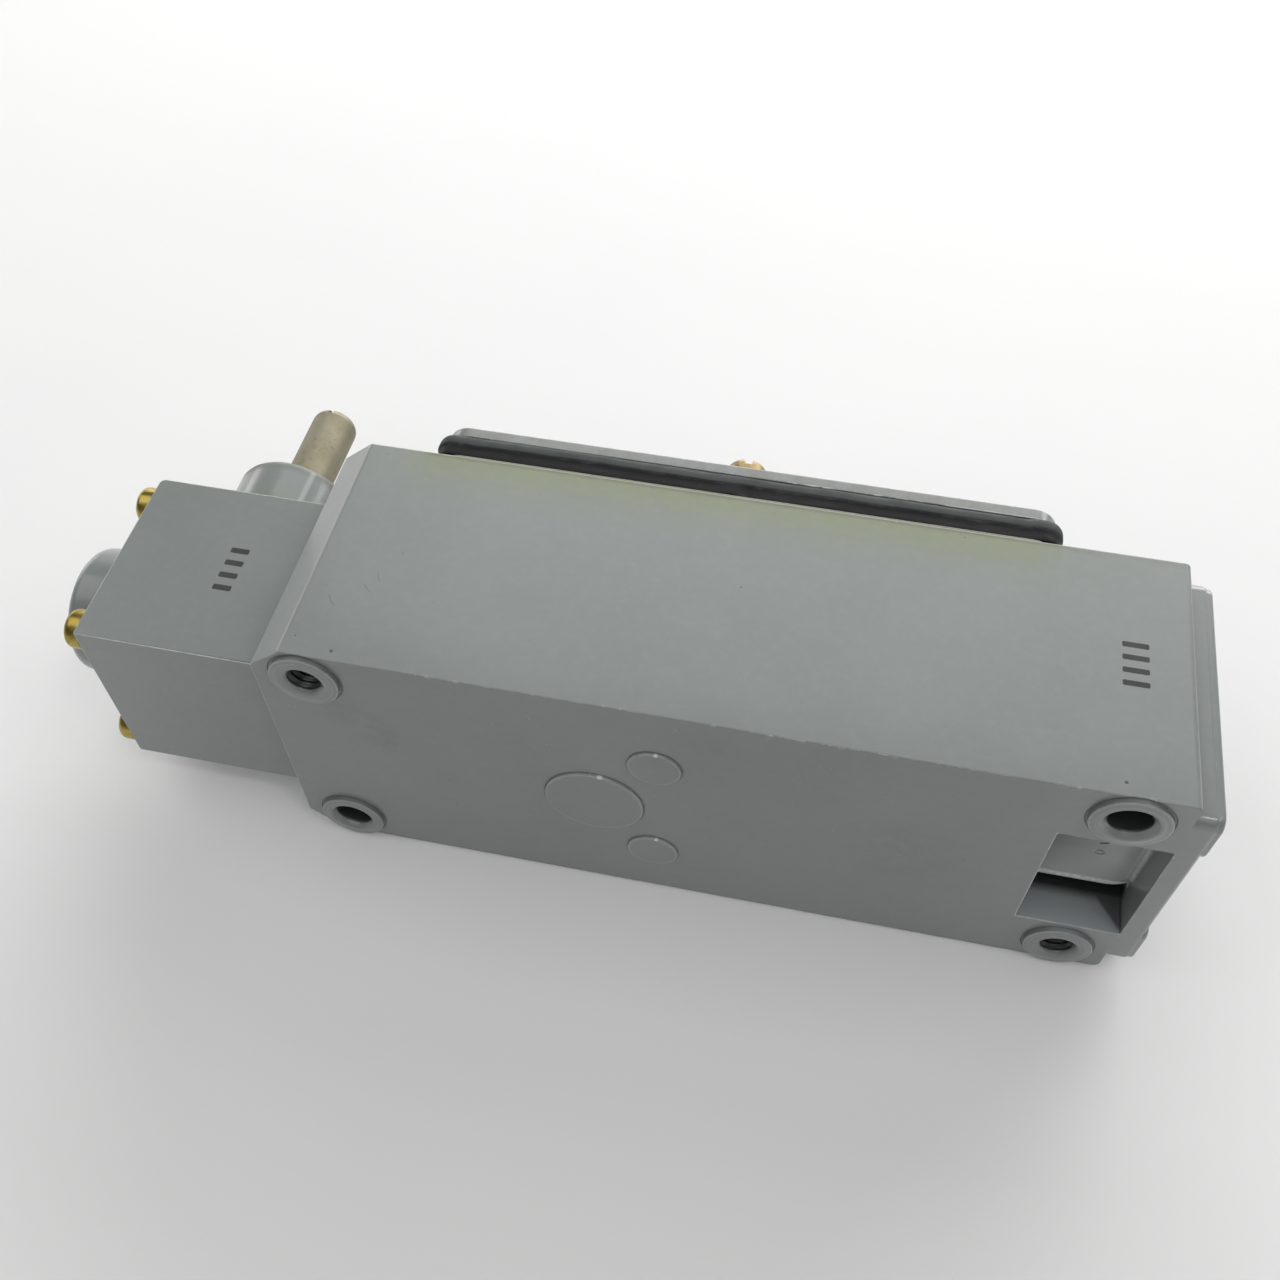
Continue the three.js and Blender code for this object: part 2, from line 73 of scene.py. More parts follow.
def obj_from(bm, name):
    bmesh.ops.recalc_face_normals(bm, faces=bm.faces[:])
    me = bpy.data.meshes.new(name)
    bm.to_mesh(me)
    bm.free()
    o = bpy.data.objects.new(name, me)
    coll.objects.link(o)
    return o


def rounded_outline(pts, radii, seg=5):
    """Closed outline with each corner replaced by an arc of its own radius."""
    out = []
    n = len(pts)
    for i in range(n):
        p = Vector(pts[i])
        a = (Vector(pts[i - 1]) - p)
        b = (Vector(pts[(i + 1) % n]) - p)
        r = radii[i] if isinstance(radii, (list, tuple)) else radii
        if r <= 1e-6:
            out.append(p)
            continue
        a.normalize(); b.normalize()
        ang = a.angle(b)
        t = r / math.tan(ang / 2)
        c = p + (a + b).normalized() * (r / math.sin(ang / 2))
        p0, p1 = p + a * t, p + b * t
        v0, v1 = p0 - c, p1 - c
        th = v0.angle(v1)
        s = 1 if v0.x * v1.y - v0.y * v1.x > 0 else -1
        k = max(2, int(round(seg * th / (math.pi / 2))) + 1)
        for j in range(k + 1):
            q = s * th * j / k
            out.append(c + Vector((v0.x * math.cos(q) - v0.y * math.sin(q), v0.x * math.sin(q) + v0.y * math.cos(q))))
    return out


def rect(u0, u1, v0, v1, r=0.0, seg=5):
    return rounded_outline([(u0, v0), (u1, v0), (u1, v1), (u0, v1)], r, seg)


def offset_outline(pts, d):
    """Moves each point of a closed outline inwards by d along the mitre of its two edges."""
    n = len(pts)
    area = sum(pts[i].x * pts[(i + 1) % n].y - pts[(i + 1) % n].x * pts[i].y for i in range(n))
    s = 1 if area > 0 else -1
    out = []
    for i in range(n):
        e0 = (pts[i] - pts[i - 1]).normalized()
        e1 = (pts[(i + 1) % n] - pts[i]).normalized()
        n0, n1 = Vector((-e0.y, e0.x)) * s, Vector((-e1.y, e1.x)) * s
        m = n0 + n1
        m = m / max(m.dot(n0), 0.3) if m.length > 1e-6 else n0
        out.append(pts[i] + m * d)
    return out


AXES = {
    "X": lambda u, v, t: (t, u, v),  # outline in (y, z)
    "Y": lambda u, v, t: (u, t, v),  # outline in (x, z)
    "Z": lambda u, v, t: (u, v, t),
}


def prism(pts, axis, t0, t1, r0=0.0, r1=0.0, seg=3, name="prism"):
    """An extruded outline whose two rims are rounded by r0 and r1 (negative flares outwards)."""
    pts = [Vector(p) for p in pts]

    def rim(t, r, way):
        if abs(r) < 1e-9:
            return [(t, 0.0)]
        out = [(t - way * 1.5, r)] if r < 0 else []
        for k in range(seg + 1):
            a = (math.pi / 2) * k / seg
            out.append((t + way * abs(r) * (1 - math.cos(a)), r * (1 - math.sin(a))))
        return out

    rings = rim(t0, r0, 1) + rim(t1, r1, -1)[::-1]
    bm = bmesh.new()
    rows = []
    for t, d in rings:
        o = offset_outline(pts, d) if d else pts
        rows.append([bm.verts.new(AXES[axis](p.x, p.y, t)) for p in o])
    n = len(pts)
    for a, b in zip(rows, rows[1:]):
        for i in range(n):
            bm.faces.new((a[i], a[(i + 1) % n], b[(i + 1) % n], b[i]))
    bm.faces.new(rows[0][::-1])
    bm.faces.new(rows[-1])
    return obj_from(bm, name)


def lathe(profile, axis, cu, cv, n=48, name="lathe", twist=None):
    """Turns (radius, position) points about an axis. twist(theta, i) may change a point's radius."""
    bm = bmesh.new()
    rows = []
    for i, (r, t) in enumerate(profile):
        if r < 1e-6:
            rows.append([bm.verts.new(AXES[axis](cu, cv, t))])
        else:
            row = []
            for k in range(n):
                a = 2 * math.pi * k / n
                rr = twist(a, r, t) if twist else r
                row.append(bm.verts.new(AXES[axis](cu + rr * math.cos(a), cv + rr * math.sin(a), t)))
            rows.append(row)
    closed = profile[0] == profile[-1] and profile[0][0] > 1e-6
    if closed:
        for v in rows[-1]:
            bm.verts.remove(v)
        rows[-1] = rows[0]
    for a, b in zip(rows, rows[1:]):
        if len(a) == 1 and len(b) == 1:
            continue
        for k in range(n):
            j = (k + 1) % n
            if len(a) == 1:
                bm.faces.new((a[0], b[j], b[k]))
            elif len(b) == 1:
                bm.faces.new((a[k], a[j], b[0]))
            else:
                bm.faces.new((a[k], a[j], b[j], b[k]))
    return obj_from(bm, name)


def arc(c, r, a0, a1, n=4):
    """Points of an arc in (radius, position) space, angles in degrees."""
    return [(c[0] + r * math.cos(math.radians(a0 + (a1 - a0) * k / n)), c[1] + r * math.sin(math.radians(a0 + (a1 - a0) * k / n))) for k in range(n + 1)]


def thread_twist(pitch, depth, t_from, t_to, inner=False):
    """Helical thread between two positions, fading in and out over one pitch."""

    def f(a, r, t):
        if t < t_from or t > t_to:
            return r
        fade = min(1.0, (t - t_from) / (pitch * 0.8), (t_to - t) / (pitch * 0.8))
        ph = ((t / pitch) - a / (2 * math.pi)) % 1.0
        tri = 1 - abs(2 * ph - 1)
        tri = min(1.0, max(0.0, tri * 1.25 - 0.12))
        return r + (depth * tri * fade if inner else -depth * (1 - tri) * fade)

    return f


def span(t0, t1, step):
    n = max(1, int(round(abs(t1 - t0) / step)))
    return [t0 + (t1 - t0) * k / n for k in range(n + 1)]


def boolean(a, b, op):
    m = a.modifiers.new("b", "BOOLEAN")
    m.operation = op
    m.object = b
    m.solver = "MANIFOLD" if "MANIFOLD" in SOLVERS else "EXACT"
    dg = bpy.context.evaluated_depsgraph_get()
    dg.update()
    me = bpy.data.meshes.new_from_object(a.evaluated_get(dg), depsgraph=dg)
    old = a.data
    a.modifiers.clear()
    a.data = me
    bpy.data.meshes.remove(old)
    bpy.data.objects.remove(b, do_unlink=True)
    return a


SOLVERS = [e.identifier for e in bpy.types.BooleanModifier.bl_rna.properties["solver"].enum_items]


def cut(a, *bs):
    for b in bs:
        boolean(a, b, "DIFFERENCE")
    return a


def join(a, *bs):
    for b in bs:
        boolean(a, b, "UNION")
    return a


def merge_objects(objs, name):
    """One object from several, without a boolean."""
    bm = bmesh.new()
    for o in objs:
        bm.from_mesh(o.data)
        bpy.data.objects.remove(o, do_unlink=True)
    me = bpy.data.meshes.new(name)
    bm.to_mesh(me)
    bm.free()
    o = bpy.data.objects.new(name, me)
    coll.objects.link(o)
    return o


def finish_piece(o, name, mat, body, replaces=(), smooth=40, weld=0.002):
    """Moves a drawn piece to the row frame, cleans and shades it, and ties it to a CAD body."""
    o.name = name
    o.data.name = name
    bm = bmesh.new()
    bm.from_mesh(o.data)
    if weld:
        bmesh.ops.remove_doubles(bm, verts=bm.verts[:], dist=weld)
    bmesh.ops.dissolve_degenerate(bm, dist=1e-4, edges=bm.edges[:])
    bm.normal_update()
    bm.to_mesh(o.data)
    bm.free()
    o.data.transform(TO_ROW)
    o.data.materials.clear()
    o.data.materials.append(mat)
    for p in o.data.polygons:
        p.use_smooth = True
        p.material_index = 0
    o.data.set_sharp_from_angle(angle=math.radians(smooth))
    w = o.modifiers.new("normals", "WEIGHTED_NORMAL")
    w.keep_sharp = True
    w.weight = 60
    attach(o, body)
    if replaces:
        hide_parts(*replaces)
    return o


# ------------------------------------------------------------------ materials


class Nodes:
    """Short hand for building a node tree."""

    def __init__(self, name):
        self.mat = bpy.data.materials.new(name)
        self.mat.use_nodes = True
        self.t = self.mat.node_tree
        self.t.nodes.clear()
        self.out = self.t.nodes.new("ShaderNodeOutputMaterial")
        self.bsdf = self.t.nodes.new("ShaderNodeBsdfPrincipled")
        self.t.links.new(self.bsdf.outputs[0], self.out.inputs[0])
        self.geo = self.t.nodes.new("ShaderNodeNewGeometry")
        self.co = self.t.nodes.new("ShaderNodeTexCoord").outputs["Object"]

    def put(self, socket, value):
        if hasattr(value, "is_output"):
            self.t.links.new(value, socket)
        elif isinstance(value, (tuple, list)) and len(value) == 3 and len(getattr(socket, "default_value", (0,))) == 4:
            socket.default_value = (*value, 1)
        else:
            socket.default_value = value

    def n(self, kind, out=0, props=None, **inputs):
        node = self.t.nodes.new(kind)
        for k, v in (props or {}).items():
            setattr(node, k, v)
        for k, v in inputs.items():
            key = int(k[1:]) if k[0] == "_" and k[1:].isdigit() else k.replace("_", " ")
            self.put(node.inputs[key], v)
        return node.outputs[out]

    def math(self, op, a, b=0.0, clamp=False):
        return self.n("ShaderNodeMath", 0, {"operation": op, "use_clamp": clamp}, _0=a, _1=b)

    def noise(self, scale, detail=4.0, rough=0.55, co=None, dist=0.0):
        return self.n("ShaderNodeTexNoise", 0, None, Vector=co or self.co, Scale=scale, Detail=detail, Roughness=rough, Distortion=dist)

    def voronoi(self, scale, co=None, feature="F1", out=0, rand=1.0):
        return self.n("ShaderNodeTexVoronoi", out, {"feature": feature}, Vector=co or self.co, Scale=scale, Randomness=rand)

    def ramp(self, fac, stops, interp="LINEAR"):
        node = self.t.nodes.new("ShaderNodeValToRGB")
        cr = node.color_ramp
        cr.interpolation = interp
        while len(cr.elements) > 1:
            cr.elements.remove(cr.elements[-1])
        for i, (p, c) in enumerate(stops):
            e = cr.elements[0] if i == 0 else cr.elements.new(p)
            e.position = p
            e.color = (c, c, c, 1) if isinstance(c, (int, float)) else (*c, 1)
        self.put(node.inputs[0], fac)
        return node.outputs[0]

    def rng(self, v, a, b, c=0.0, d=1.0, smooth=False):
        return self.n("ShaderNodeMapRange", 0, {"clamp": True, "interpolation_type": "SMOOTHSTEP" if smooth else "LINEAR"}, _0=v, _1=a, _2=b, _3=c, _4=d)

    def mix(self, fac, a, b, mode="MIX"):
        node = self.t.nodes.new("ShaderNodeMix")
        node.data_type = "RGBA"
        node.blend_type = mode
        node.clamp_factor = True
        self.put(node.inputs[0], fac)
        self.put(node.inputs[6], a)
        self.put(node.inputs[7], b)
        return node.outputs[2]

    def xyz(self, v=None):
        s = self.t.nodes.new("ShaderNodeSeparateXYZ")
        self.put(s.inputs[0], v or self.co)
        return s.outputs

    def mapped(self, scale=(1, 1, 1), rot=(0, 0, 0), loc=(0, 0, 0), co=None):
        return self.n("ShaderNodeMapping", 0, None, Vector=co or self.co, Scale=scale, Rotation=rot, Location=loc)

    def bump(self, height, strength, distance, normal=None):
        node = self.t.nodes.new("ShaderNodeBump")
        self.put(node.inputs["Strength"], strength)
        self.put(node.inputs["Distance"], distance)
        self.put(node.inputs["Height"], height)
        if normal is not None:
            self.put(node.inputs["Normal"], normal)
        return node.outputs[0]

    def edge(self, radius, lo=0.02, hi=0.25):
        """Mask of convex and concave edges from a rounded normal against the true one."""
        b = self.t.nodes.new("ShaderNodeBevel")
        b.samples = 4
        b.inputs["Radius"].default_value = radius
        dot = self.n("ShaderNodeVectorMath", "Value", {"operation": "DOT_PRODUCT"}, _0=b.outputs[0], _1=self.geo.outputs["True Normal"])
        return self.rng(self.math("SUBTRACT", 1.0, dot), lo, hi, 0.0, 1.0)

    def near(self, point, r0, r1, scale=(1, 1, 1)):
        """1 inside r0 of a point in the row frame, 0 outside r1."""
        d = self.n("ShaderNodeVectorMath", 0, {"operation": "SUBTRACT"}, _0=self.co, _1=point)
        d = self.n("ShaderNodeVectorMath", 0, {"operation": "MULTIPLY"}, _0=d, _1=scale)
        ln = self.n("ShaderNodeVectorMath", "Value", {"operation": "LENGTH"}, _0=d)
        return self.rng(ln, r0, r1, 1.0, 0.0, True)

    def line(self, a, b, r0, r1):
        """1 within r0 of the segment between two points given in millimetres of the measured frame, 0 beyond r1."""
        pa, pb = Vector(P(*a)), Vector(P(*b))
        d = pb - pa
        q = self.n("ShaderNodeVectorMath", 0, {"operation": "SUBTRACT"}, _0=self.co, _1=tuple(pa))
        dot = self.n("ShaderNodeVectorMath", "Value", {"operation": "DOT_PRODUCT"}, _0=q, _1=tuple(d / d.length_squared))
        t = self.rng(dot, 0.0, 1.0, 0.0, 1.0)
        foot = self.n("ShaderNodeVectorMath", 0, {"operation": "SCALE"}, _0=tuple(d), Scale=t)
        q = self.n("ShaderNodeVectorMath", 0, {"operation": "SUBTRACT"}, _0=q, _1=foot)
        ln = self.n("ShaderNodeVectorMath", "Value", {"operation": "LENGTH"}, _0=q)
        return self.rng(ln, r0 / 1000, r1 / 1000, 1.0, 0.0)

    def ring(self, x, z, r, w, y0, y1):
        """1 on a circle of radius r round an axis along Y, between two depths, fading over w on either side."""
        c = P(x, 0, z)
        q = self.n("ShaderNodeVectorMath", 0, {"operation": "SUBTRACT"}, _0=self.co, _1=c)
        q = self.n("ShaderNodeVectorMath", 0, {"operation": "MULTIPLY"}, _0=q, _1=(1, 0, 1))
        ln = self.n("ShaderNodeVectorMath", "Value", {"operation": "LENGTH"}, _0=q)
        off = self.math("ABSOLUTE", self.math("SUBTRACT", ln, r / 1000))
        y = self.xyz()[1]
        lo, hi = P(0, y0, 0)[1], P(0, y1, 0)[1]
        depth = self.math("MULTIPLY", self.math("GREATER_THAN", y, lo), self.math("LESS_THAN", y, hi))
        return self.math("MULTIPLY", self.rng(off, w * 0.00035, w * 0.001, 1.0, 0.0), depth)

    def set(self, **kw):
        for k, v in kw.items():
            self.put(self.bsdf.inputs[k.replace("_", " ")], v)
        return self.mat


def enamel():
    """Grey baked enamel over die-cast metal: fine orange peel, worn edges, oil stains and dust, with painted shade in
    holes, corners and the conduit pocket and painted highlights on edges, rings and glints.
    """
    m = Nodes("grey_enamel")
    x, y, z = m.xyz()
    nrm = m.xyz(m.geo.outputs["Normal"])
    base = m.mix(m.rng(m.noise(34, 5, 0.6), 0.3, 0.7), (0.203, 0.221, 0.214), (0.224, 0.243, 0.236))
    base = m.mix(m.math("MULTIPLY", m.rng(m.noise(620, 3, 0.6), 0.45, 0.75), 0.22), base, (0.262, 0.28, 0.272))
    # yellow-green oil stain on the upper side face, along the sealing land
    up = m.rng(nrm[2], 0.6, 0.9)
    d = m.math("SUBTRACT", 0.0089, y)
    d = m.math("ADD", d, m.math("MULTIPLY", m.math("SUBTRACT", m.noise(95, 4, 0.6, co=m.mapped(scale=(1, 2.2, 1))), 0.5), 0.0028))
    fall = m.ramp(m.rng(d, 0.0, 0.012), [(0.0, 0.9), (0.13, 1.0), (0.22, 0.92), (0.36, 0.62), (0.52, 0.38), (0.7, 0.16), (1.0, 0.0)])
    ends = m.math("MULTIPLY", m.rng(x, -0.047, -0.0345, 0.0, 1.0, True), m.rng(x, 0.0675, 0.081, 1.0, 0.0, True))
    ends = m.math("MAXIMUM", ends, m.math("MULTIPLY", m.rng(x, 0.07, 0.095, 0.22, 0.0), 1.0))
    ends = m.math("MULTIPLY", ends, m.rng(y, 0.0102, 0.0108, 1.0, 0.0))
    patch = m.rng(m.noise(210, 4, 0.65, co=m.mapped(scale=(1, 2.5, 1))), 0.3, 0.66, 0.72, 1.0)
    stain = m.math("MULTIPLY", m.math("MULTIPLY", fall, ends), m.math("MULTIPLY", patch, up))
    base = m.mix(stain, base, m.mix(1.0, base, (0.955, 1.01, 0.61), "MULTIPLY"))
    # painted shade of the gasket in a mottled brown, right under it on the side face
    painted_shade = m.math("MULTIPLY", m.rng(d, 0.0003, 0.0021, 1.0, 0.0, True), m.rng(m.noise(330, 4, 0.7, co=m.mapped(scale=(1, 0.5, 1))), 0.4, 0.62))
    painted_shade = m.math("MULTIPLY", m.math("MULTIPLY", painted_shade, up), m.rng(x, -0.042, -0.034))
    base = m.mix(m.math("MULTIPLY", painted_shade, 0.34), base, (0.14, 0.12, 0.075))
    # painted shade on the sealing land right under the gasket, in a dark brown
    land_shade = m.math("MULTIPLY", m.rng(y, P(0, 48.5, 0)[1], P(0, 48.9, 0)[1]), m.rng(y, 0.0102, 0.0108, 1.0, 0.0))
    land_shade = m.math("MULTIPLY", land_shade, m.rng(x, P(9, 0, 0)[0], P(12, 0, 0)[0]))
    land_shade = m.math("MULTIPLY", land_shade, m.rng(m.noise(120, 4, 0.7), 0.3, 0.6, 0.6, 0.95))
    base = m.mix(land_shade, base, (0.1, 0.105, 0.05))
    # painted shade on the far upper rim, right under the gasket
    rim_shade = m.math("MULTIPLY", m.rng(y, P(0, 47.3, 0)[1], P(0, 47.8, 0)[1]), m.rng(z, P(0, 0, BODY_W - 1.2)[2], P(0, 0, BODY_W - 0.5)[2]))
    rim_shade = m.math("MULTIPLY", rim_shade, m.math("MULTIPLY", m.rng(x, P(9, 0, 0)[0], P(12, 0, 0)[0]), m.rng(x, P(123, 0, 0)[0], P(127, 0, 0)[0], 1.0, 0.0)))
    rim_shade = m.math("MULTIPLY", rim_shade, m.math("MULTIPLY", m.rng(m.noise(120, 4, 0.7), 0.3, 0.6, 0.4, 0.8), m.rng(y, 0.0102, 0.0108, 1.0, 0.0)))
    base = m.mix(rim_shade, base, (0.12, 0.125, 0.065))
    # oil on the shaft boss and round the shaft
    for pt, r0, r1, k in ((P(AX - 7.4, 55.6, MID + 8.6), 0.0008, 0.0036, 0.55), (P(AX - 5.6, 54.2, MID + 10.4), 0.0006, 0.0030, 0.3), (P(AX + 9.5, 56.0, MID + 6), 0.001, 0.0042, 0.45), (P(AX + 3.0, 56.4, MID + 7.5), 0.0006, 0.003, 0.3)):
        sp = m.math("MULTIPLY", m.near(pt, r0, r1), m.rng(m.noise(420, 4, 0.7), 0.3, 0.6, 0.35, 1.0))
        base = m.mix(m.math("MULTIPLY", sp, k), base, (0.085, 0.08, 0.045))
    # handling smudges on the back face
    for pt, r1, k in ((P(9.5, 0, 42.5), 0.009, 0.22), (P(14.5, 0, 37), 0.007, 0.14), (P(70.0, 0, 50.0), 0.012, 0.1), (P(104.0, 0, 30.0), 0.016, 0.1)):
        sp = m.math("MULTIPLY", m.near(pt, r1 * 0.1, r1), m.rng(m.noise(190, 4, 0.65), 0.38, 0.66))
        base = m.mix(m.math("MULTIPLY", sp, k * 1.6), base, (0.1, 0.096, 0.085))
    # a few scuffs near the head end and dark chips
    for a, b, w in (((9.2, 16.4), (11.2, 14.6), 0.00012), ((4.2, 12.9), (5.9, 10.9), 0.00014), ((10.8, 19.4), (11.7, 17.2), 0.0001)):
        pa, pb = Vector(P(a[0], a[1], BODY_W)), Vector(P(b[0], b[1], BODY_W))
        mid, dr = (pa + pb) / 2, (pb - pa)
        L = dr.length / 2
        ang = math.atan2(dr.y, dr.x)
        q = m.n("ShaderNodeVectorMath", 0, {"operation": "SUBTRACT"}, _0=m.co, _1=tuple(mid))
        rot = m.n("ShaderNodeVectorRotate", 0, {"rotation_type": "Z_AXIS"}, Vector=q, Angle=-ang)
        rx, ry, rz = m.xyz(rot)
        bend = m.math("MULTIPLY", m.math("MULTIPLY", rx, rx), 120.0)
        line = m.math("MULTIPLY", m.rng(m.math("ABSOLUTE", m.math("SUBTRACT", ry, bend)), w * 0.4, w * 1.6, 1.0, 0.0), m.rng(m.math("ABSOLUTE", rx), L * 0.75, L, 1.0, 0.0))
        line = m.math("MULTIPLY", line, m.rng(m.math("ABSOLUTE", rz), 0.0002, 0.0006, 1.0, 0.0))
        base = m.mix(m.math("MULTIPLY", line, 0.4), base, (0.1, 0.105, 0.1))
    speck = m.math("MULTIPLY", m.rng(m.voronoi(300), 0.03, 0.06, 1.0, 0.0), m.rng(m.noise(160, 1), 0.61, 0.64))
    chips = speck
    for pt in ((8.7, 1.9, BODY_W), (134.6, 2.4, BODY_W)):
        chips = m.math("MAXIMUM", chips, m.near(P(*pt), 0.00022, 0.00036))
    base = m.mix(m.math("MULTIPLY", chips, 0.8), base, (0.035, 0.036, 0.035))
    # pale dust specks, mostly on the back face
    dust = m.math("MULTIPLY", m.rng(m.voronoi(520), 0.035, 0.075, 1.0, 0.0), m.rng(m.noise(130, 2), 0.49, 0.55))
    dust = m.math("MULTIPLY", dust, m.rng(nrm[1], -0.8, -0.3, 1.0, 0.25))
    base = m.mix(m.math("MULTIPLY", dust, 0.55), base, (0.5, 0.5, 0.48))
    # oily, duller rim of the shaft boss, and a painted highlight streak along the boss
    rim = m.math("MULTIPLY", m.rng(y, P(0, 53.6, 0)[1], P(0, 55.2, 0)[1]), m.rng(x, P(-6.5, 0, 0)[0], P(-6.0, 0, 0)[0], 1.0, 0.0))
    rim = m.math("MULTIPLY", rim, m.rng(m.noise(260, 3), 0.3, 0.6, 0.6, 1.0))
    base = m.mix(m.math("MULTIPLY", rim, 0.55), base, (0.13, 0.135, 0.105))
    a62 = math.radians(61)
    boss_highlight = m.line((AX + 12 * math.cos(a62), 41.5, MID + 12 * math.sin(a62)), (AX + 11.9 * math.cos(a62), 55.0, MID + 11.9 * math.sin(a62)), 0.25, 0.75)
    base = m.mix(m.math("MULTIPLY", boss_highlight, 0.45), base, (0.5, 0.52, 0.5))
    # worn edges show brighter metal in a thin broken line; the same pale colour also paints highlights on edges, rings
    # and glints
    broken = m.rng(m.noise(240, 4, 0.7), 0.36, 0.56, 0.35, 1.0)
    worn = m.rng(m.noise(240, 4, 0.7, co=m.mapped(loc=(3, 1, 2))), 0.5, 0.62, 0.0, 1.0)
    lines = [
        # start, end, half width, strength, how broken (0 even, 1 only in places)
        ((-41.3, 3.33, 48.34), (-6.1, 3.33, 48.34), 0.12, 0.85, 0),
        ((-41.35, 3.35, 48.32), (-41.35, 39.7, 48.32), 0.17, 0.34, 0),
        ((-41.35, 3.35, 48.32), (-41.35, 3.35, 10.4), 0.16, 0.28, 0),
        ((-41.3, 40.86, 48.3), (-14.0, 40.86, 48.3), 0.16, 0.3, 1),
        ((0, 0.06, 58.64), (145.9, 0.06, 58.64), 0.1, 0.2, 1),
        ((78, 0.06, 58.64), (99, 0.06, 58.64), 0.12, 0.5, 1),
        ((-6, 0.1, 53.6), (0, 0.1, 58.6), 0.15, 0.2, 0),
        ((-5.95, 0.05, 53.5), (-5.95, 0.05, 5.3), 0.17, 0.6, 0),
        ((-5.95, 3.3, 48.4), (-5.95, 40.9, 48.4), 0.2, 0.1, 0),
        ((0, 0.1, 58.6), (0, 48.4, 58.6), 0.2, 0.07, 0),
        ((127.88, 0.02, 14.3), (127.88, 0.02, 44.6), 0.2, 0.7, 0),
        ((127.9, 0.02, 14.15), (145.8, 0.02, 14.15), 0.2, 0.75, 0),
        ((127.85, 0.0, 14.2), (127.85, 7.0, 14.2), 0.15, 0.3, 0),
        ((146.05, 1.0, 58.62), (146.05, 47.5, 58.62), 0.16, 0.32, 1),
        # painted highlights along the conduit hub's lower edge, its step and its rounded end
        ((128.0, 6.74, MID - 9.0), (142.6, 6.74, MID - 9.0), 0.42, 0.85, 0),
        ((128.0, 7.1, MID - 10.05), (143.0, 7.1, MID - 10.05), 0.3, 0.4, 0),
        ((145.62, 6.25, 22.9), (145.62, 6.25, 41.0), 0.45, 0.6, 0),
        # painted highlight along the cover's lower rim
        ((75.0, 54.22, BODY_W - 0.72), (121.5, 54.22, BODY_W - 0.72), 0.2, 0.8, 1),
        ((104.0, 54.22, BODY_W - 0.72), (121.5, 54.22, BODY_W - 0.72), 0.16, 0.8, 0),
        ((146.0, 0.05, 5.2), (146.0, 0.05, 58.5), 0.14, 0.22, 1),
    ]
    wear_and_highlight = None
    for a, b, w, k, br in lines:
        v = m.math("MULTIPLY", m.line(a, b, w * 0.45, w * 1.25), k)
        v = m.math("MULTIPLY", v, worn if br else broken)
        wear_and_highlight = v if wear_and_highlight is None else m.math("MAXIMUM", wear_and_highlight, v)
    # painted highlights: thin pale rings on the rims of the pads and discs
    for i, (hx, dz) in enumerate(HOLES):
        for r, w, k in ((5.9 if i != 1 else 6.15, 0.2, 0.16), (5.08, 0.16, 0.1)):
            wear_and_highlight = m.math("MAXIMUM", wear_and_highlight, m.math("MULTIPLY", m.math("MULTIPLY", m.ring(hx, MID + dz, r, w, -1.2, -0.55), k), broken))
    for dx, dz, r in ((51.9, 28.6, 8.66), (62.6, 43.0, 4.46), (62.4, 14.2, 4.46)):
        wear_and_highlight = m.math("MAXIMUM", wear_and_highlight, m.math("MULTIPLY", m.math("MULTIPLY", m.ring(dx, dz, r, 0.24, -0.8, -0.1), 0.2), broken))
    # painted glints on the three raised discs
    for gx, gz, r in GLINTS:
        wear_and_highlight = m.math("MAXIMUM", wear_and_highlight, m.math("MULTIPLY", m.near(P(gx, -0.4, gz), r * 0.3, r, (1, 1, 1.4)), 0.95))
    edge = m.edge(0.0003, 0.03, 0.1)
    wear_and_highlight = m.math("MAXIMUM", wear_and_highlight, m.math("MULTIPLY", m.math("MULTIPLY", edge, worn), 0.3))
    base = m.mix(wear_and_highlight, base, (0.72, 0.74, 0.72))
    nick = m.math("MULTIPLY", m.edge(0.0006, 0.02, 0.06), m.rng(m.noise(620, 2), 0.66, 0.7))
    base = m.mix(m.math("MULTIPLY", nick, 0.6), base, (0.62, 0.62, 0.6))
    # painted shade deep inside the holes and corners, from ambient occlusion
    ao = m.t.nodes.new("ShaderNodeAmbientOcclusion")
    ao.samples = 6
    ao.inputs["Distance"].default_value = 0.006
    shade_mask = m.rng(ao.outputs["AO"], 0.04, 0.34, 0.85, 0.0)
    # painted shade in the moat round each pad and disc
    for i, (hx, dz) in enumerate(HOLES):
        shade_mask = m.math("MAXIMUM", shade_mask, m.math("MULTIPLY", m.ring(hx, MID + dz, 6.3 if i != 1 else 6.55, 0.3, -0.3, 0.25), 0.25))
        shade_mask = m.math("MAXIMUM", shade_mask, m.math("MULTIPLY", m.ring(hx, MID + dz, 6.05 if i != 1 else 6.3, 0.06, -0.72, 0.25), 0.3))
    for dx, dz, r in ((51.9, 28.6, 9.0), (62.6, 43.0, 4.8), (62.4, 14.2, 4.8)):
        shade_mask = m.math("MAXIMUM", shade_mask, m.math("MULTIPLY", m.ring(dx, dz, r, 0.3, -0.05, 0.35), 0.25))
    # painted light and shade in the pocket: the space under the conduit hub is painted black as its shadow, and the
    # hub's face is painted lighter where light falls on it
    inx = m.math("MULTIPLY", m.rng(x, P(127.4, 0, 0)[0], P(127.7, 0, 0)[0]), m.rng(x, P(146.2, 0, 0)[0], P(146.6, 0, 0)[0], 1.0, 0.0))
    under = m.math("MULTIPLY", m.rng(y, P(0, 5.6, 0)[1], P(0, 7.6, 0)[1]), m.rng(z, P(0, 0, 16.9)[2], P(0, 0, 17.8)[2], 1.0, 0.0))
    deep = m.math("LESS_THAN", y, P(0, 14.5, 0)[1])
    inx = m.math("MULTIPLY", inx, deep)
    under = m.math("MULTIPLY", m.math("MULTIPLY", under, inx), m.rng(z, P(0, 0, 13.0)[2], P(0, 0, 13.4)[2]))
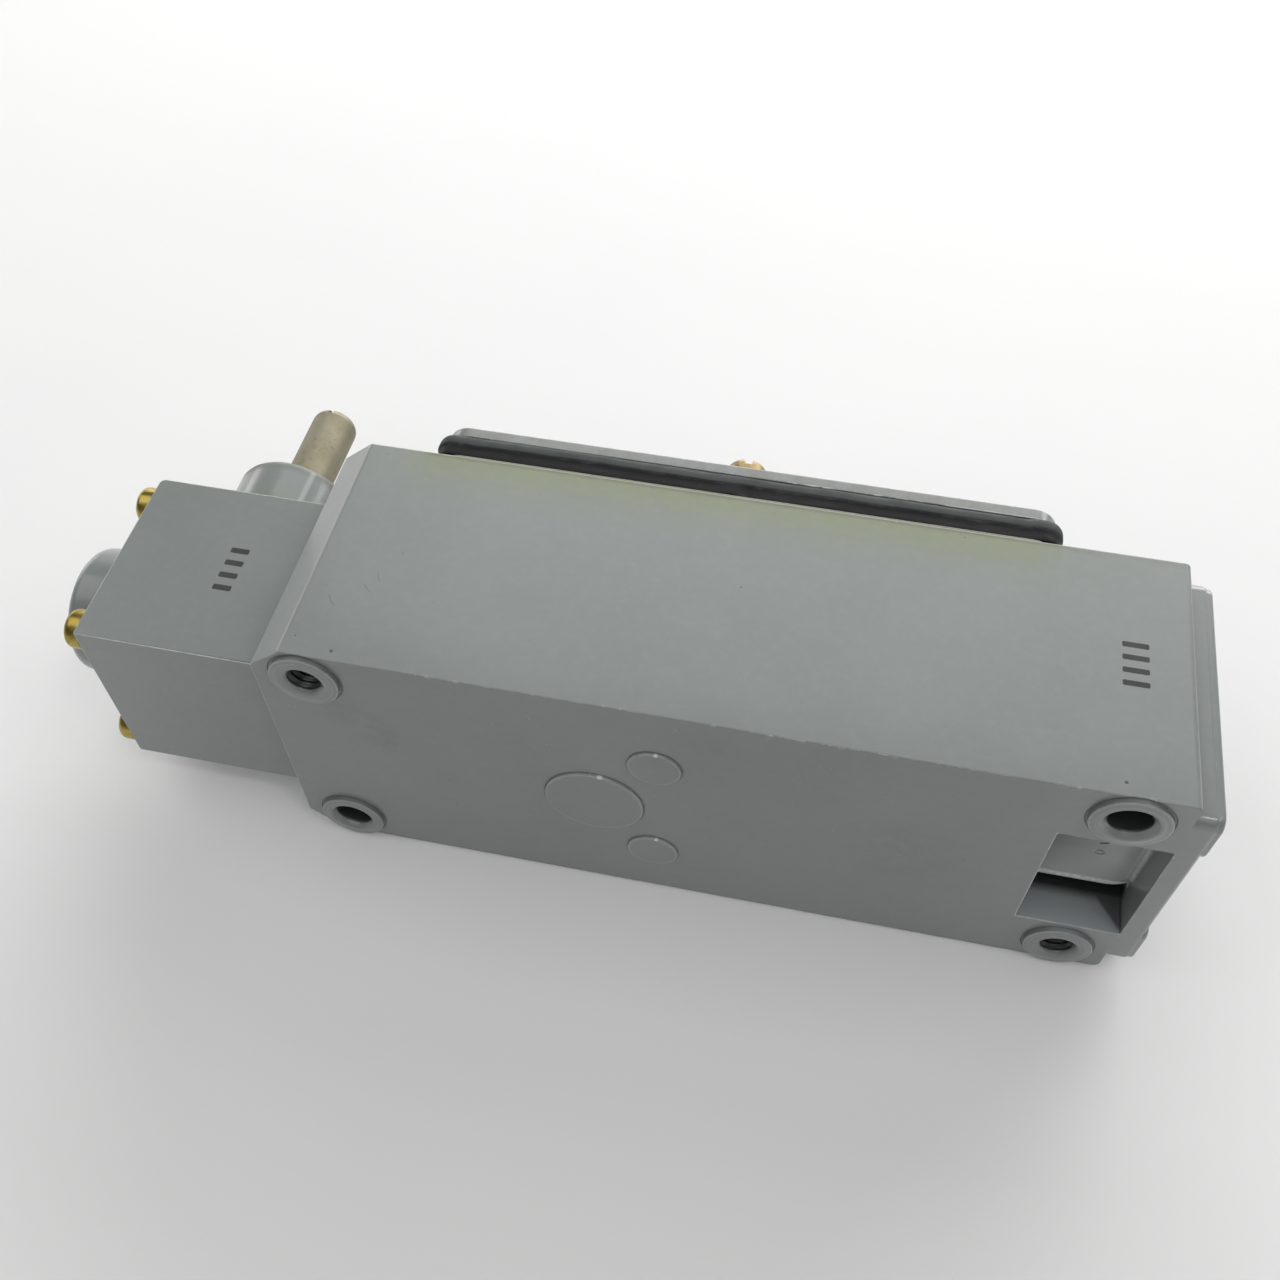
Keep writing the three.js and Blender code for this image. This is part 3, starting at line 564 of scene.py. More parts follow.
    # painted shadow of the pocket's right wall, a diagonal dark band on its lower wall
    diag = m.math("ADD", m.math("MULTIPLY", m.math("SUBTRACT", x, P(141.2, 0, 0)[0]), 1.0), m.math("MULTIPLY", m.math("SUBTRACT", y, P(0, 6.9, 0)[1]), 0.7))
    corner = m.math("MULTIPLY", m.rng(diag, 0.0, 0.0007), m.math("MULTIPLY", m.math("MULTIPLY", inx, m.rng(y, P(0, 0.25, 0)[1], P(0, 0.5, 0)[1])), m.rng(z, P(0, 0, 14.6)[2], P(0, 0, 15.4)[2], 1.0, 0.0)))
    shade_mask = m.math("MAXIMUM", shade_mask, m.math("MAXIMUM", m.math("MULTIPLY", under, 0.96), m.math("MULTIPLY", corner, 0.7)))
    hub = m.math("MULTIPLY", m.math("MULTIPLY", inx, m.rng(nrm[1], -0.97, -0.9, 1.0, 0.0)), m.rng(m.math("ABSOLUTE", m.math("SUBTRACT", y, P(0, 6.85, 0)[1])), 0.0003, 0.0006, 1.0, 0.0))
    base = m.mix(m.math("MULTIPLY", hub, 0.62), base, (0.46, 0.475, 0.47))
    # painted shadow of the pocket's upper wall over the upper left of the hub
    shade = m.math("MULTIPLY", hub, m.math("MULTIPLY", m.rng(z, P(0, 0, 21)[2], P(0, 0, 31)[2]), m.rng(x, P(128, 0, 0)[0], P(142, 0, 0)[0], 1.0, 0.2)))
    base = m.mix(m.math("MULTIPLY", shade, 0.85), base, (0.045, 0.048, 0.048))
    # painted highlight along the lower edge of the conduit hub
    ledge_highlight = m.math("MULTIPLY", inx, m.rng(m.math("ABSOLUTE", m.math("SUBTRACT", z, P(0, 0, MID - 10.3)[2])), 0.0003, 0.0012, 1.0, 0.0))
    ledge_highlight = m.math("MULTIPLY", ledge_highlight, m.rng(m.math("ABSOLUTE", m.math("SUBTRACT", y, P(0, 7.35, 0)[1])), 0.0003, 0.0007, 1.0, 0.0))
    ledge_highlight = m.math("MULTIPLY", ledge_highlight, m.rng(m.noise(900, 3, 0.7), 0.35, 0.6, 0.45, 1.0))
    base = m.mix(m.math("MULTIPLY", ledge_highlight, 0.9), base, (0.85, 0.87, 0.87))
    # painted light on the pocket's lower wall near its mouth, where light falls in
    lower_wall_light = m.math("MULTIPLY", m.math("MULTIPLY", inx, m.rng(nrm[2], 0.8, 0.95)), m.rng(z, P(0, 0, 14.4)[2], P(0, 0, 15.0)[2], 1.0, 0.0))
    base = m.mix(m.math("MULTIPLY", m.math("MULTIPLY", lower_wall_light, m.rng(y, P(0, 0.3, 0)[1], P(0, 6.5, 0)[1], 0.75, 0.2)), 0.8), base, (0.36, 0.395, 0.43))
    # the bore walls of the mounting holes are made near black from just inside their mouths
    bores = None
    for i, (hx, dz) in enumerate(HOLES):
        q = m.n("ShaderNodeVectorMath", 0, {"operation": "SUBTRACT"}, _0=m.co, _1=P(hx, 0, MID + dz))
        q = m.n("ShaderNodeVectorMath", 0, {"operation": "MULTIPLY"}, _0=q, _1=(1, 0, 1))
        r = m.n("ShaderNodeVectorMath", "Value", {"operation": "LENGTH"}, _0=q)
        v = m.math("LESS_THAN", r, 0.00352)
        if i > 1:
            v = m.math("MULTIPLY", v, m.math("LESS_THAN", y, P(0, 20, 0)[1]))
        bores = v if bores is None else m.math("MAXIMUM", bores, v)
    bores = m.math("MULTIPLY", bores, m.rng(y, P(0, -0.75, 0)[1], P(0, 0.15, 0)[1]))
    dark = m.math("MAXIMUM", shade_mask, m.math("MULTIPLY", bores, 0.9))
    base = m.mix(dark, base, (0.016, 0.017, 0.018))
    rough = m.math("ADD", 0.25, m.math("MULTIPLY", m.noise(150, 4, 0.6), 0.12))
    rough = m.math("ADD", rough, m.math("SUBTRACT", m.math("MULTIPLY", rim, 0.35), m.math("MULTIPLY", stain, 0.02)))
    rough = m.math("MAXIMUM", rough, 0.29)
    h = m.math("ADD", m.math("MULTIPLY", m.noise(760, 3, 0.55), 0.45), m.math("MULTIPLY", m.noise(230, 3, 0.5), 0.55))
    n1 = m.bump(h, 0.22, 0.0001)
    n2 = m.bump(m.math("SUBTRACT", dust, m.math("MAXIMUM", chips, nick)), 0.35, 0.00008, n1)
    return m.set(Base_Color=base, Roughness=rough, Normal=n2, Specular_IOR_Level=0.5, Metallic=0.0, Coat_Weight=m.math("MULTIPLY", m.math("SUBTRACT", 1.0, m.math("MAXIMUM", rim, dark)), 0.4), Coat_Roughness=0.1)


def rubber():
    m = Nodes("black_rubber")
    y = m.xyz()[1]
    # two tones by depth: the band next to the body is painted near black as shade under the gasket's undercut, the
    # band next to the cover a lighter slate where light falls on its lip
    split = m.math("ADD", y, m.math("MULTIPLY", m.math("SUBTRACT", m.noise(160, 3), 0.5), 0.0005))
    up = m.rng(split, 0.0121, 0.0126, 0.0, 1.0)
    c = m.mix(m.rng(m.noise(120, 5, 0.6), 0.3, 0.7), (0.0065, 0.0065, 0.0085), (0.0105, 0.0105, 0.0125))
    d = m.mix(m.rng(m.noise(150, 5, 0.6), 0.3, 0.7), (0.027, 0.034, 0.032), (0.038, 0.046, 0.044))
    c = m.mix(up, c, d)
    dust = m.math("MULTIPLY", m.rng(m.voronoi(650), 0.05, 0.13, 1.0, 0.0), m.rng(m.noise(140, 2), 0.5, 0.56))
    c = m.mix(m.math("MULTIPLY", dust, 0.4), c, (0.12, 0.115, 0.1))
    ridge = m.math("MULTIPLY", m.rng(m.math("ABSOLUTE", m.math("SUBTRACT", split, 0.0123)), 0.00012, 0.0004, 1.0, 0.0), m.rng(m.noise(260, 4, 0.7, co=m.mapped(scale=(0.5, 1, 1))), 0.48, 0.66))
    c = m.mix(m.math("MULTIPLY", ridge, 0.5), c, (0.1, 0.095, 0.1))
    scuff = m.rng(m.noise(700, 4, 0.7, co=m.mapped(scale=(0.25, 1.6, 1.6))), 0.56, 0.72)
    c = m.mix(m.math("MULTIPLY", scuff, 0.2), c, (0.07, 0.072, 0.07))
    n = m.bump(m.noise(1100, 4, 0.6), 0.4, 0.00008)
    return m.set(Base_Color=c, Roughness=m.rng(m.noise(220, 3), 0.3, 0.7, 0.5, 0.7), Normal=n, Specular_IOR_Level=0.3)


def metal(name, a, b, dark, rough, spots=0.4, brushed=None, wear_colour=None, painted_shade=(0.03, 0.026, 0.02), painted_shade_amount=0.4, scale=1.0, metallic=1.0):
    """Aged metal: two tones mottled together, dark spots, painted shade in the corners, brighter worn edges."""
    m = Nodes(name)
    c = m.mix(m.rng(m.noise(140 * scale, 6, 0.65), 0.34, 0.66), a, b)
    spot = m.math("MULTIPLY", m.rng(m.noise(620 * scale, 4, 0.7), 0.54, 0.7), m.rng(m.noise(90 * scale, 3), 0.4, 0.62))
    c = m.mix(m.math("MULTIPLY", spot, spots), c, dark)
    pore = m.rng(m.voronoi(1500 * scale), 0.06, 0.16, 1.0, 0.0)
    c = m.mix(m.math("MULTIPLY", pore, 0.22), c, dark)
    e = m.edge(0.0004, 0.03, 0.2)
    w = m.math("MULTIPLY", e, m.rng(m.noise(500, 3), 0.4, 0.62))
    c = m.mix(m.math("MULTIPLY", w, 0.5), c, wear_colour or b)
    # painted shade in corners and crevices, from ambient occlusion
    ao = m.t.nodes.new("ShaderNodeAmbientOcclusion")
    ao.samples = 4
    ao.inputs["Distance"].default_value = 0.0015
    shade_mask = m.math("MULTIPLY", m.rng(ao.outputs["AO"], 0.25, 0.8, 1.0, 0.0), painted_shade_amount)
    c = m.mix(shade_mask, c, painted_shade)
    co = m.mapped(scale=brushed) if brushed else None
    streak = m.noise(500 * scale, 4, 0.6, co=co)
    r = m.math("ADD", rough, m.math("MULTIPLY", m.math("SUBTRACT", m.noise(260 * scale, 4, 0.6), 0.5), 0.22))
    r = m.math("ADD", r, m.math("MULTIPLY", spot, 0.18))
    h = m.math("ADD", m.math("MULTIPLY", streak, 0.6), m.math("MULTIPLY", m.math("SUBTRACT", 1.0, m.math("MAXIMUM", spot, pore)), 0.4))
    n = m.bump(h, 0.3, 0.00005)
    return m.set(Base_Color=c, Metallic=metallic, Roughness=r, Normal=n)


def moulded(name, a, b, rough=0.5, speck=None, bump=0.2, grain=900, metallic=0.0):
    m = Nodes(name)
    c = m.mix(m.rng(m.noise(110, 5, 0.6), 0.3, 0.7), a, b)
    if speck:
        s = m.rng(m.voronoi(1700), 0.08, 0.2, 1.0, 0.0)
        c = m.mix(m.math("MULTIPLY", s, 0.35), c, speck)
    e = m.edge(0.0003, 0.03, 0.2)
    c = m.mix(m.math("MULTIPLY", e, 0.3), c, tuple(min(1, 1.6 * v + 0.02) for v in b))
    n = m.bump(m.noise(grain, 4, 0.6), bump, 0.00006)
    return m.set(Base_Color=c, Roughness=m.rng(m.noise(250, 3), 0.3, 0.7, rough - 0.06, rough + 0.08), Normal=n, Metallic=metallic, Specular_IOR_Level=0.5)


MAT = {
    "grey_enamel": enamel(),
    "black_rubber": rubber(),
    "brass": metal("brass", (0.37, 0.275, 0.065), (0.49, 0.375, 0.115), (0.13, 0.09, 0.028), 0.3, 0.5, wear_colour=(0.72, 0.6, 0.28), painted_shade=(0.035, 0.028, 0.012), painted_shade_amount=0.75),
    "old_brass": metal("old_brass", (0.25, 0.185, 0.09), (0.34, 0.265, 0.15), (0.11, 0.075, 0.03), 0.36, 0.5, wear_colour=(0.6, 0.5, 0.34), painted_shade=(0.04, 0.03, 0.015), painted_shade_amount=0.75),
    "shaft_steel": metal("shaft_steel", (0.235, 0.212, 0.142), (0.285, 0.262, 0.195), (0.12, 0.11, 0.05), 0.56, 0.5, wear_colour=(0.46, 0.43, 0.34), painted_shade=(0.06, 0.045, 0.025), metallic=0.75),
    "bright_steel": metal("bright_steel", (0.46, 0.46, 0.45), (0.56, 0.56, 0.55), (0.2, 0.19, 0.17), 0.34, 0.25),
    "spring_steel": metal("spring_steel", (0.30, 0.31, 0.32), (0.42, 0.43, 0.44), (0.1, 0.1, 0.1), 0.3, 0.2),
    "bronze": metal("bronze", (0.34, 0.2, 0.09), (0.45, 0.29, 0.14), (0.1, 0.06, 0.03), 0.48, 0.5),
    "copper": metal("copper", (0.5, 0.24, 0.13), (0.62, 0.34, 0.2), (0.2, 0.08, 0.04), 0.34, 0.3),
    "green_steel": metal("green_steel", (0.05, 0.2, 0.06), (0.08, 0.28, 0.1), (0.02, 0.07, 0.02), 0.4, 0.3, wear_colour=(0.4, 0.42, 0.4)),
    "fibre": moulded("fibre", (0.115, 0.055, 0.028), (0.175, 0.09, 0.05), 0.8, speck=(0.25, 0.15, 0.09), bump=0.5, grain=1500),
    "dark_moulding": moulded("dark_moulding", (0.017, 0.013, 0.011), (0.032, 0.025, 0.021), 0.42, speck=(0.08, 0.06, 0.045)),
    "light_moulding": moulded("light_moulding", (0.62, 0.575, 0.46), (0.7, 0.66, 0.54), 0.5, bump=0.15),
    "black_ink": moulded("black_ink", (0.014, 0.015, 0.018), (0.03, 0.032, 0.035), 0.6, bump=0.1),
}


# ------------------------------------------------------------------ housing


def thread_cutter(axis, cu, cv, r, pitch, depth, t0, t1, n=40, mouth=None, name="thread"):
    """Cutter for a tapped hole that opens at t0 and ends at t1, with its thread and its countersunk mouth."""
    way = 1 if t1 > t0 else -1
    prof = [(0.0, t0 - way * 2)]
    m = mouth or r
    prof.append((m + 0.35, t0 - way * 2))
    prof.append((m + 0.35, t0 - way * 0.02))
    prof += [(m + 0.12, t0 + way * 0.12), (m, t0 + way * 0.32)]
    ts = span(t0 + way * (0.32 + (m - r) * 0.9), t1, pitch / 7)
    prof += [(r, t) for t in ts]
    prof += [(0.0, t1 + way * r * 0.55)]
    lo, hi = sorted((ts[0], ts[-1]))
    tw = thread_twist(pitch, depth, lo - pitch * 0.3, hi)
    return lathe(prof, axis, cu, cv, n, name, tw)


def build_housing():
    core = prism(
        rounded_outline([(-6, 5.1), (0, 0), (BODY_L, 0), (BODY_L, BODY_W), (0, BODY_W), (-6, BODY_W - 5.1)], [0.9, 1.0, 1.5, 1.1, 1.0, 0.9], 6),
        "Y", 0, BODY_D, 0.28, 0.4, 4, "housing")
    platform = prism(rect(0.02, 48.4, PLAT_Z, BODY_W - PLAT_Z, 2.2, 6), "X", 130, 150.05, 0, 1.0, 4)
    lug_a = prism(rect(0.1, 48.2, PLAT_Z + 0.1, 16, 2.6, 6), "X", 148, 150.7, 0, 0.6, 4)
    lug_b = prism(rect(0.1, 48.2, 43.0, BODY_W - PLAT_Z - 0.1, 2.6, 6), "X", 148, 150.7, 0, 0.6, 4)
    land = prism(rect(12.8, 123.5, 0.75, BODY_W - 0.75, 3.6, 6), "Y", 46, 49.4, 0, 0.25, 3)
    join(core, platform, lug_a, lug_b, land)
    # pads round the mounting holes, each with a rounded rim and standing in a shallow moat
    for i, (x, dz) in enumerate(HOLES):
        r = 6.3 if i == 1 else 6.05
        moat = lathe([(r - 0.4, -0.5), (r + 0.5, -0.5), (r + 0.5, -0.02), (r + 0.3, 0.14), (r - 0.4, 0.14), (r - 0.4, -0.5)], "Y", x, MID + dz, 88)
        cut(core, moat)
        pad = lathe([(0, 3), (r, 3), (r, -0.72), *arc((r - 0.2, -0.72), 0.2, 0, -90, 4), (5.16, -0.92), (4.98, -1.0), (0, -1.0)], "Y", x, MID + dz, 88)
        cut(pad, prism(rect(x - 9, x + 9, -9, 0.04), "Y", -3, 5), prism(rect(x - 9, x + 9, BODY_W - 0.04, 70), "Y", -3, 5))
        join(core, pad)
    # ejector-pin discs, raised a little, each in a fine ring
    for x, z, r in ((51.9, 28.6, 8.8), (62.6, 43.0, 4.6), (62.4, 14.2, 4.6)):
        disc = lathe([(0, 2), (r + 0.05, 2), (r + 0.05, 0.05), (r + 0.02, -0.28), *arc((r - 0.18, -0.28), 0.2, 0, -90, 4), (0, -0.48)], "Y", x, z, 96 if r > 6 else 64)
        ring = lathe([(r - 0.3, 0.05), (r + 0.02, 0.12), (r + 0.3, -0.02), (r + 0.42, -0.3), (r - 0.3, -0.3), (r - 0.3, 0.05)], "Y", x, z, 96 if r > 6 else 64)
        cut(core, ring)
        join(core, disc)
    # inside
    cavity = prism(rect(13, 121, 5.2, 53.5, 4, 5), "Y", 5.2, 60, 0.8, 0, 3)
    for k in (-1, 1):
        cut(cavity, lathe([(0, 0), (4.9, 0), (4.9, 49.4), (0, 49.4)], "Y", COVER_SCREW[0], MID + k * COVER_SCREW[1], 40))
    cut(cavity, lathe([(0, 0), (4.6, 0), (4.6, 8.6), (4.2, 9), (0, 9)], "Y", 104, 12, 40))
    cut(core, cavity)
    for k in (-1, 1):
        cut(core, lathe([(0, 30), (2.4, 31), (2.4, 60), (0, 60)], "Y", COVER_SCREW[0], MID + k * COVER_SCREW[1], 32))
    cut(core, lathe([(0, 5.8), (2.2, 6.2), (2.2, 20), (0, 20)], "Y", 104, 12, 24))
    for x in (18.4, 81.6):
        cut(core, lathe([(0, 2.2), (1.9, 2.6), (1.9, 20), (0, 20)], "Y", x, MID, 24))
    # mounting holes: two plain and countersunk, two tapped
    for i, (x, dz) in enumerate(HOLES):
        z = MID + dz
        if i in (0, 1):
            m = 4.25 if i == 1 else 3.95
            prof = [(0, -3), (m + 0.5, -3), (m + 0.5, -1.02), (m + 0.22, -0.98), (m, -0.82), (3.5, -0.05), (3.38, 0.15), (3.35, 0.5), (3.35, 46.4), (3.9, 49.5), (3.9, 60), (0, 60)]
            cut(core, lathe(prof, "Y", x, z, 56))
        else:
            cut(core, thread_cutter("Y", x, z, 3.2, 1.27, 0.5, -1.0, 14.0, 48, 3.4))
    # pocket with the conduit hub standing in it, rounded at its free end
    room = prism(rect(127.85, 146.0, MID - 15.25, MID + 15.25, 0.5, 3), "Y", -3, 13.8, 0, 0.8, 3)
    hub = prism(rect(110, 146.6, MID - 9.1, MID + 9.1, 4.2, 8), "Y", 6.7, 16, 0.45, 0, 4)
    step = prism(rect(110, 147.8, MID - 11.9, MID + 11.9, 6.0, 8), "Y", 7.2, 16, 0.9, 0, 4)
    skirt = prism(rect(110, 149, MID - 12.1, MID + 12.1, 6.2, 8), "Y", 11.5, 16, 1.6, 0, 4)
    web = [Vector((146.3, 5.2)), Vector((146.0, 5.2))] + [Vector((144.5 + 1.5 * math.cos(t), 5.2 + 1.5 * math.sin(t))) for t in (math.radians(a) for a in (10, 25, 40, 55, 70, 85))] + [Vector((144.4, 7.4)), Vector((146.3, 7.4))]
    fillet = prism(web[::-1], "Z", MID - 7.0, MID + 9.0)
    join(hub, step, skirt, fillet)
    cut(room, hub)
    cut(core, room)
    # small witness marks left on the hub
    cut(core, lathe([(0.55, 6.0), (0.8, 6.0), (0.8, 6.82), (0.55, 6.82), (0.55, 6.0)], "Y", 138.45, 29.62, 24))
    cut(core, prism(rounded_outline([(137.5, 32.2), (138.9, 32.7), (139.2, 33.4), (137.9, 33.1)], 0.15, 3), "Y", 6, 6.85))
    # conduit entry, tapped
    cut(core, thread_cutter("X", 24.2, MID, 10.3, 1.81, 0.95, 150.7, 119.5, 64, 10.9))
    # plunger guide bore and head screw holes
    cut(core, lathe([(0, -20), (7, -20), (7, 30), (0, 30)], "X", 22.1, MID, 40))
    for a in (-1, 1):
        for b in (-1, 1):
            cut(core, lathe([(0, -20), (2.3, -20), (2.3, 9.0), (0, 9.8)], "X", 22.1 + 15 * a, MID + 15 * b, 24))
    return finish_piece(core, "housing_casting", MAT["grey_enamel"], "enclosure", ("housing",), 35)


def build_cover():
    c = prism(rect(12.1, 124.3, 0.7, BODY_W - 0.7, 4.6, 8), "Y", 54.2, 56.6, 0.15, 0.4, 4)
    join(c, prism(rect(18.5, 117.8, 8.5, 50.2, 3.5, 5), "Y", 51.5, 55.0, 0.4, 0, 3))
    cut(c, prism(rect(21.5, 114.8, 11.5, 47.2, 2.5, 5), "Y", 50, 54.2, 0, 0.6, 3))
    for k in (-1, 1):
        z = MID + k * COVER_SCREW[1]
        cut(c, lathe([(0, 40), (6.4, 40), (6.4, 53.9), (6.1, 54.2), (0, 54.2)], "Y", COVER_SCREW[0], z, 40))
        cut(c, lathe([(0, 40), (2.5, 40), (2.5, 56.3), (2.9, 56.62), (2.9, 58), (0, 58)], "Y", COVER_SCREW[0], z, 32))
    return finish_piece(c, "cover_plate", MAT["grey_enamel"], "enclosure", ("cover",), 35)


def build_gasket():
    """Thick rubber gasket: rounded lips, a moulding line round its edge, and a slightly uneven outline."""
    base = rect(11.0, 125.3, 0.3, BODY_W - 0.3, 3.6, 8)
    pts = []
    n = len(base)
    for i in range(n):
        a, b = base[i], base[(i + 1) % n]
        k = max(1, int((b - a).length / 1.6))
        pts += [a.lerp(b, j / k) for j in range(k)]
    levels = [(49.5, 0.7), (49.6, 0.58), (50.2, 0.5), (51.2, 0.42), (51.7, 0.28), (51.9, 0.1), (52.1, 0.0), (53.1, 0.02), (53.6, 0.1), (53.95, 0.26), (54.1, 0.5)]
    bm = bmesh.new()
    rows = []
    for t, d in levels:
        row = []
        for p in offset_outline(pts, d):
            x, z = p.x, p.y
            side = 1 if z > MID else -1
            on_side = 1 if abs(z - MID) > 24 and 17 < x < 119 else 0
            step = 0.14 / (1 + math.exp(-(x - 69.5) * 2.2)) + 0.07 * math.sin(x * 0.11 + side) + 0.04 * math.sin(x * 0.43)
            z -= side * max(0.0, step + 0.08) * on_side
            low = 1.0 if t < 51.8 else 0.0
            notch = math.exp(-((x - 66.5) / 1.3) ** 2) * 0.35 * low
            z += side * notch * on_side
            wave = 0.07 * math.sin(x * 0.17 + 1.3 * side) if on_side and 49.65 < t < 53.9 else 0
            row.append(bm.verts.new((x, t + wave, z)))
        rows.append(row)
    m = len(pts)
    for a, b in zip(rows, rows[1:]):
        for i in range(m):
            bm.faces.new((a[i], a[(i + 1) % m], b[(i + 1) % m], b[i]))
    bm.faces.new(rows[0][::-1])
    bm.faces.new(rows[-1])
    g = obj_from(bm, "gasket")
    cut(g, prism(rect(18, 118.3, 8, 50.7, 4, 5), "Y", 40, 60))
    for k in (-1, 1):
        z = MID + k * COVER_SCREW[1]
        join(g, lathe([(0, 49.5), (4.85, 49.5), (4.85, 54.1), (0, 54.1)], "Y", COVER_SCREW[0], z, 40))
        cut(g, lathe([(0, 40), (4.15, 40), (4.15, 60), (0, 60)], "Y", COVER_SCREW[0], z, 40))
    return finish_piece(g, "cover_gasket_rubber", MAT["black_rubber"], "enclosure", ("cover_gasket",), 50)


# ------------------------------------------------------------------ head


def build_head():
    h = prism(rounded_outline([(-41.43, 3.27), (-6.15, 3.27), (-6.15, 40.94), (-41.43, 40.94)], [0.4, 0.2, 0.3, 1.15], 5), "Z", 10.3, 48.4, 0.3, 0.3, 3, "head")
    boss = lathe([(0, 30), (13.2, 30), (13.2, 40.9), *arc((13.1, 42.05), 1.1, -90, -180, 5), (12, 54.9), *arc((10.5, 55.1), 1.5, 0, 90, 6), (0, 56.6)], "Y", AX, MID, 80)
    cap = lathe([(0, -30), (13.0, -30), (13.0, -41.4), *arc((13.05, -42.45), 1.0, 90, 180, 5), (12, -49.4), *arc((9.7, -49.95), 2.3, 0, -90, 7), (0, -52.25)], "X", AY, MID, 80)
    join(h, boss, cap)
    room = prism(rect(AY - 10.5, AY + 10.5, MID - 13, MID + 13, 1.5, 4), "X", AX - 13.2, 2, 0.5, 0, 2)
    cut(h, room)
    cut(h, lathe([(0, -49.5), (7.4, -49.5), (7.6, -49.3), (7.6, -30), (0, -30)], "X", AY, MID, 48))
    cut(h, lathe([(0, 5.4), (6.8, 5.4), (6.8, 20), (0, 20)], "Y", AX, MID, 40))
    cut(h, lathe([(0, 25), (7.5, 25), (7.5, 56.0), *arc((8.1, 56.0), 0.6, 180, 90, 4), (8.1, 60), (0, 60)], "Y", AX, MID, 56))
    outer = prism(rect(AY - 12.6 - 2.5, AY + 12.6 + 2.5, MID - 12.6, MID + 12.6), "X", -7.5, 0)
    bpy.data.objects.remove(outer, do_unlink=True)
    groove = prism(rect(AY - 12.6, AY + 12.6, MID - 15.1, MID + 15.1), "X", -7.5, 0)
    cut(groove, prism(rect(AY - 11.2, AY + 11.2, MID - 13.7, MID + 13.7), "X", -9, 5))
    cut(h, groove)
    for a in (-1, 1):
        for b in (-1, 1):
            cut(h, lathe([(0, -60), (2.3, -60), (2.3, 5), (0, 5)], "X", AY + 15 * a, MID + 15 * b, 24))
    return finish_piece(h, "head_casting", MAT["grey_enamel"], "enclosure", ("head_housing",), 35)


def screw(axis, cu, cv, tip, under, top, r, shank, dome, slot_w, slot_d, angle, pitch=1.0, edge=0.45, name="screw", thread_len=None, seg=56):
    """Slotted screw along an axis, from its tip to the top of its head, with a helical thread."""
    way = 1 if top > tip else -1
    L = abs(under - tip)
    tl = thread_len or L * 0.6
    prof = [(0, tip), (shank * 0.66, tip), (shank - 0.02, tip + way * 0.5)]
    prof += [(shank, t) for t in span(tip + way * 0.6, tip + way * tl, pitch / 5)]
    prof += [(shank - 0.25, tip + way * (tl + 0.4)), (shank - 0.25, under - way * 0.25), (shank, under), (r - 0.12, under), (r, under + way * 0.12)]
    h = abs(top - under)
    side = under + way * (h - dome - edge)
    prof += [(r, side)]
    prof += [(q[0], q[1]) for q in arc((r - edge, side), edge, 0, 90 if way > 0 else -90, 5)][1:]
    rr = r - edge
    for k in range(1, 7):
        a = k / 6
        prof.append((rr * (1 - a), side + way * (edge + dome * (1 - (1 - a) ** 2))))
    lo, hi = sorted((tip + way * 0.6, tip + way * tl))
    o = lathe(prof, axis, cu, cv, seg, name, lambda a, q, t, f=thread_twist(pitch, 0.28, lo, hi): f(a, q, t) if q < r * 0.7 and lo <= t <= hi else q)
    s = slot_w / 2
    blade = prism(rect(-s, s, -r * 1.6, r * 1.6, 0.0), "Z", -4, slot_d, 0, 0)
    # the blade is drawn along Z and turned to the screw's axis
    if axis == "X":
        m = Matrix.Rotation(math.pi / 2, 4, "Y")
        m = Matrix.Rotation(math.radians(angle), 4, "X") @ m
        m = Matrix.Translation((top, cu, cv)) @ (m if way < 0 else m @ Matrix.Rotation(math.pi, 4, "X"))
    else:
        m = Matrix.Rotation(math.pi / 2, 4, "X")
        m = Matrix.Rotation(math.radians(angle), 4, "Y") @ m
        m = Matrix.Translation((cu, top, cv)) @ (m if way > 0 else m @ Matrix.Rotation(math.pi, 4, "X"))
    blade.data.transform(m)
    cut(o, blade)
    return o


def build_screws():
    i = 0
    angles = [28, 38, 64, 24]
    for b in (1, -1):
        for a in (1, -1):
            i += 1
            s = screw("X", AY + 15 * a, MID + 15 * b, 8.6, -41.6, -44.9, 3.58, 2.08, 0.15, 0.95, 1.3, angles[i - 1], 0.8, 1.3, "hs", 13)
            finish_piece(s, f"head_screw_{i}_brass", MAT["brass"], "enclosure", (f"head_screw_{i}",), 40)
    for i, k in enumerate((-1, 1)):
        s = screw("Y", COVER_SCREW[0], MID + k * COVER_SCREW[1], 33, 56.75, 60.9, 3.9, 2.08, 0.75, 1.35, 2.35, 3 if k > 0 else 50, 0.8, 1.15, "cs", 9)
        finish_piece(s, f"cover_screw_{i + 1}_brass", MAT["old_brass"], "enclosure", (f"cover_screw_{i + 1}",), 40)


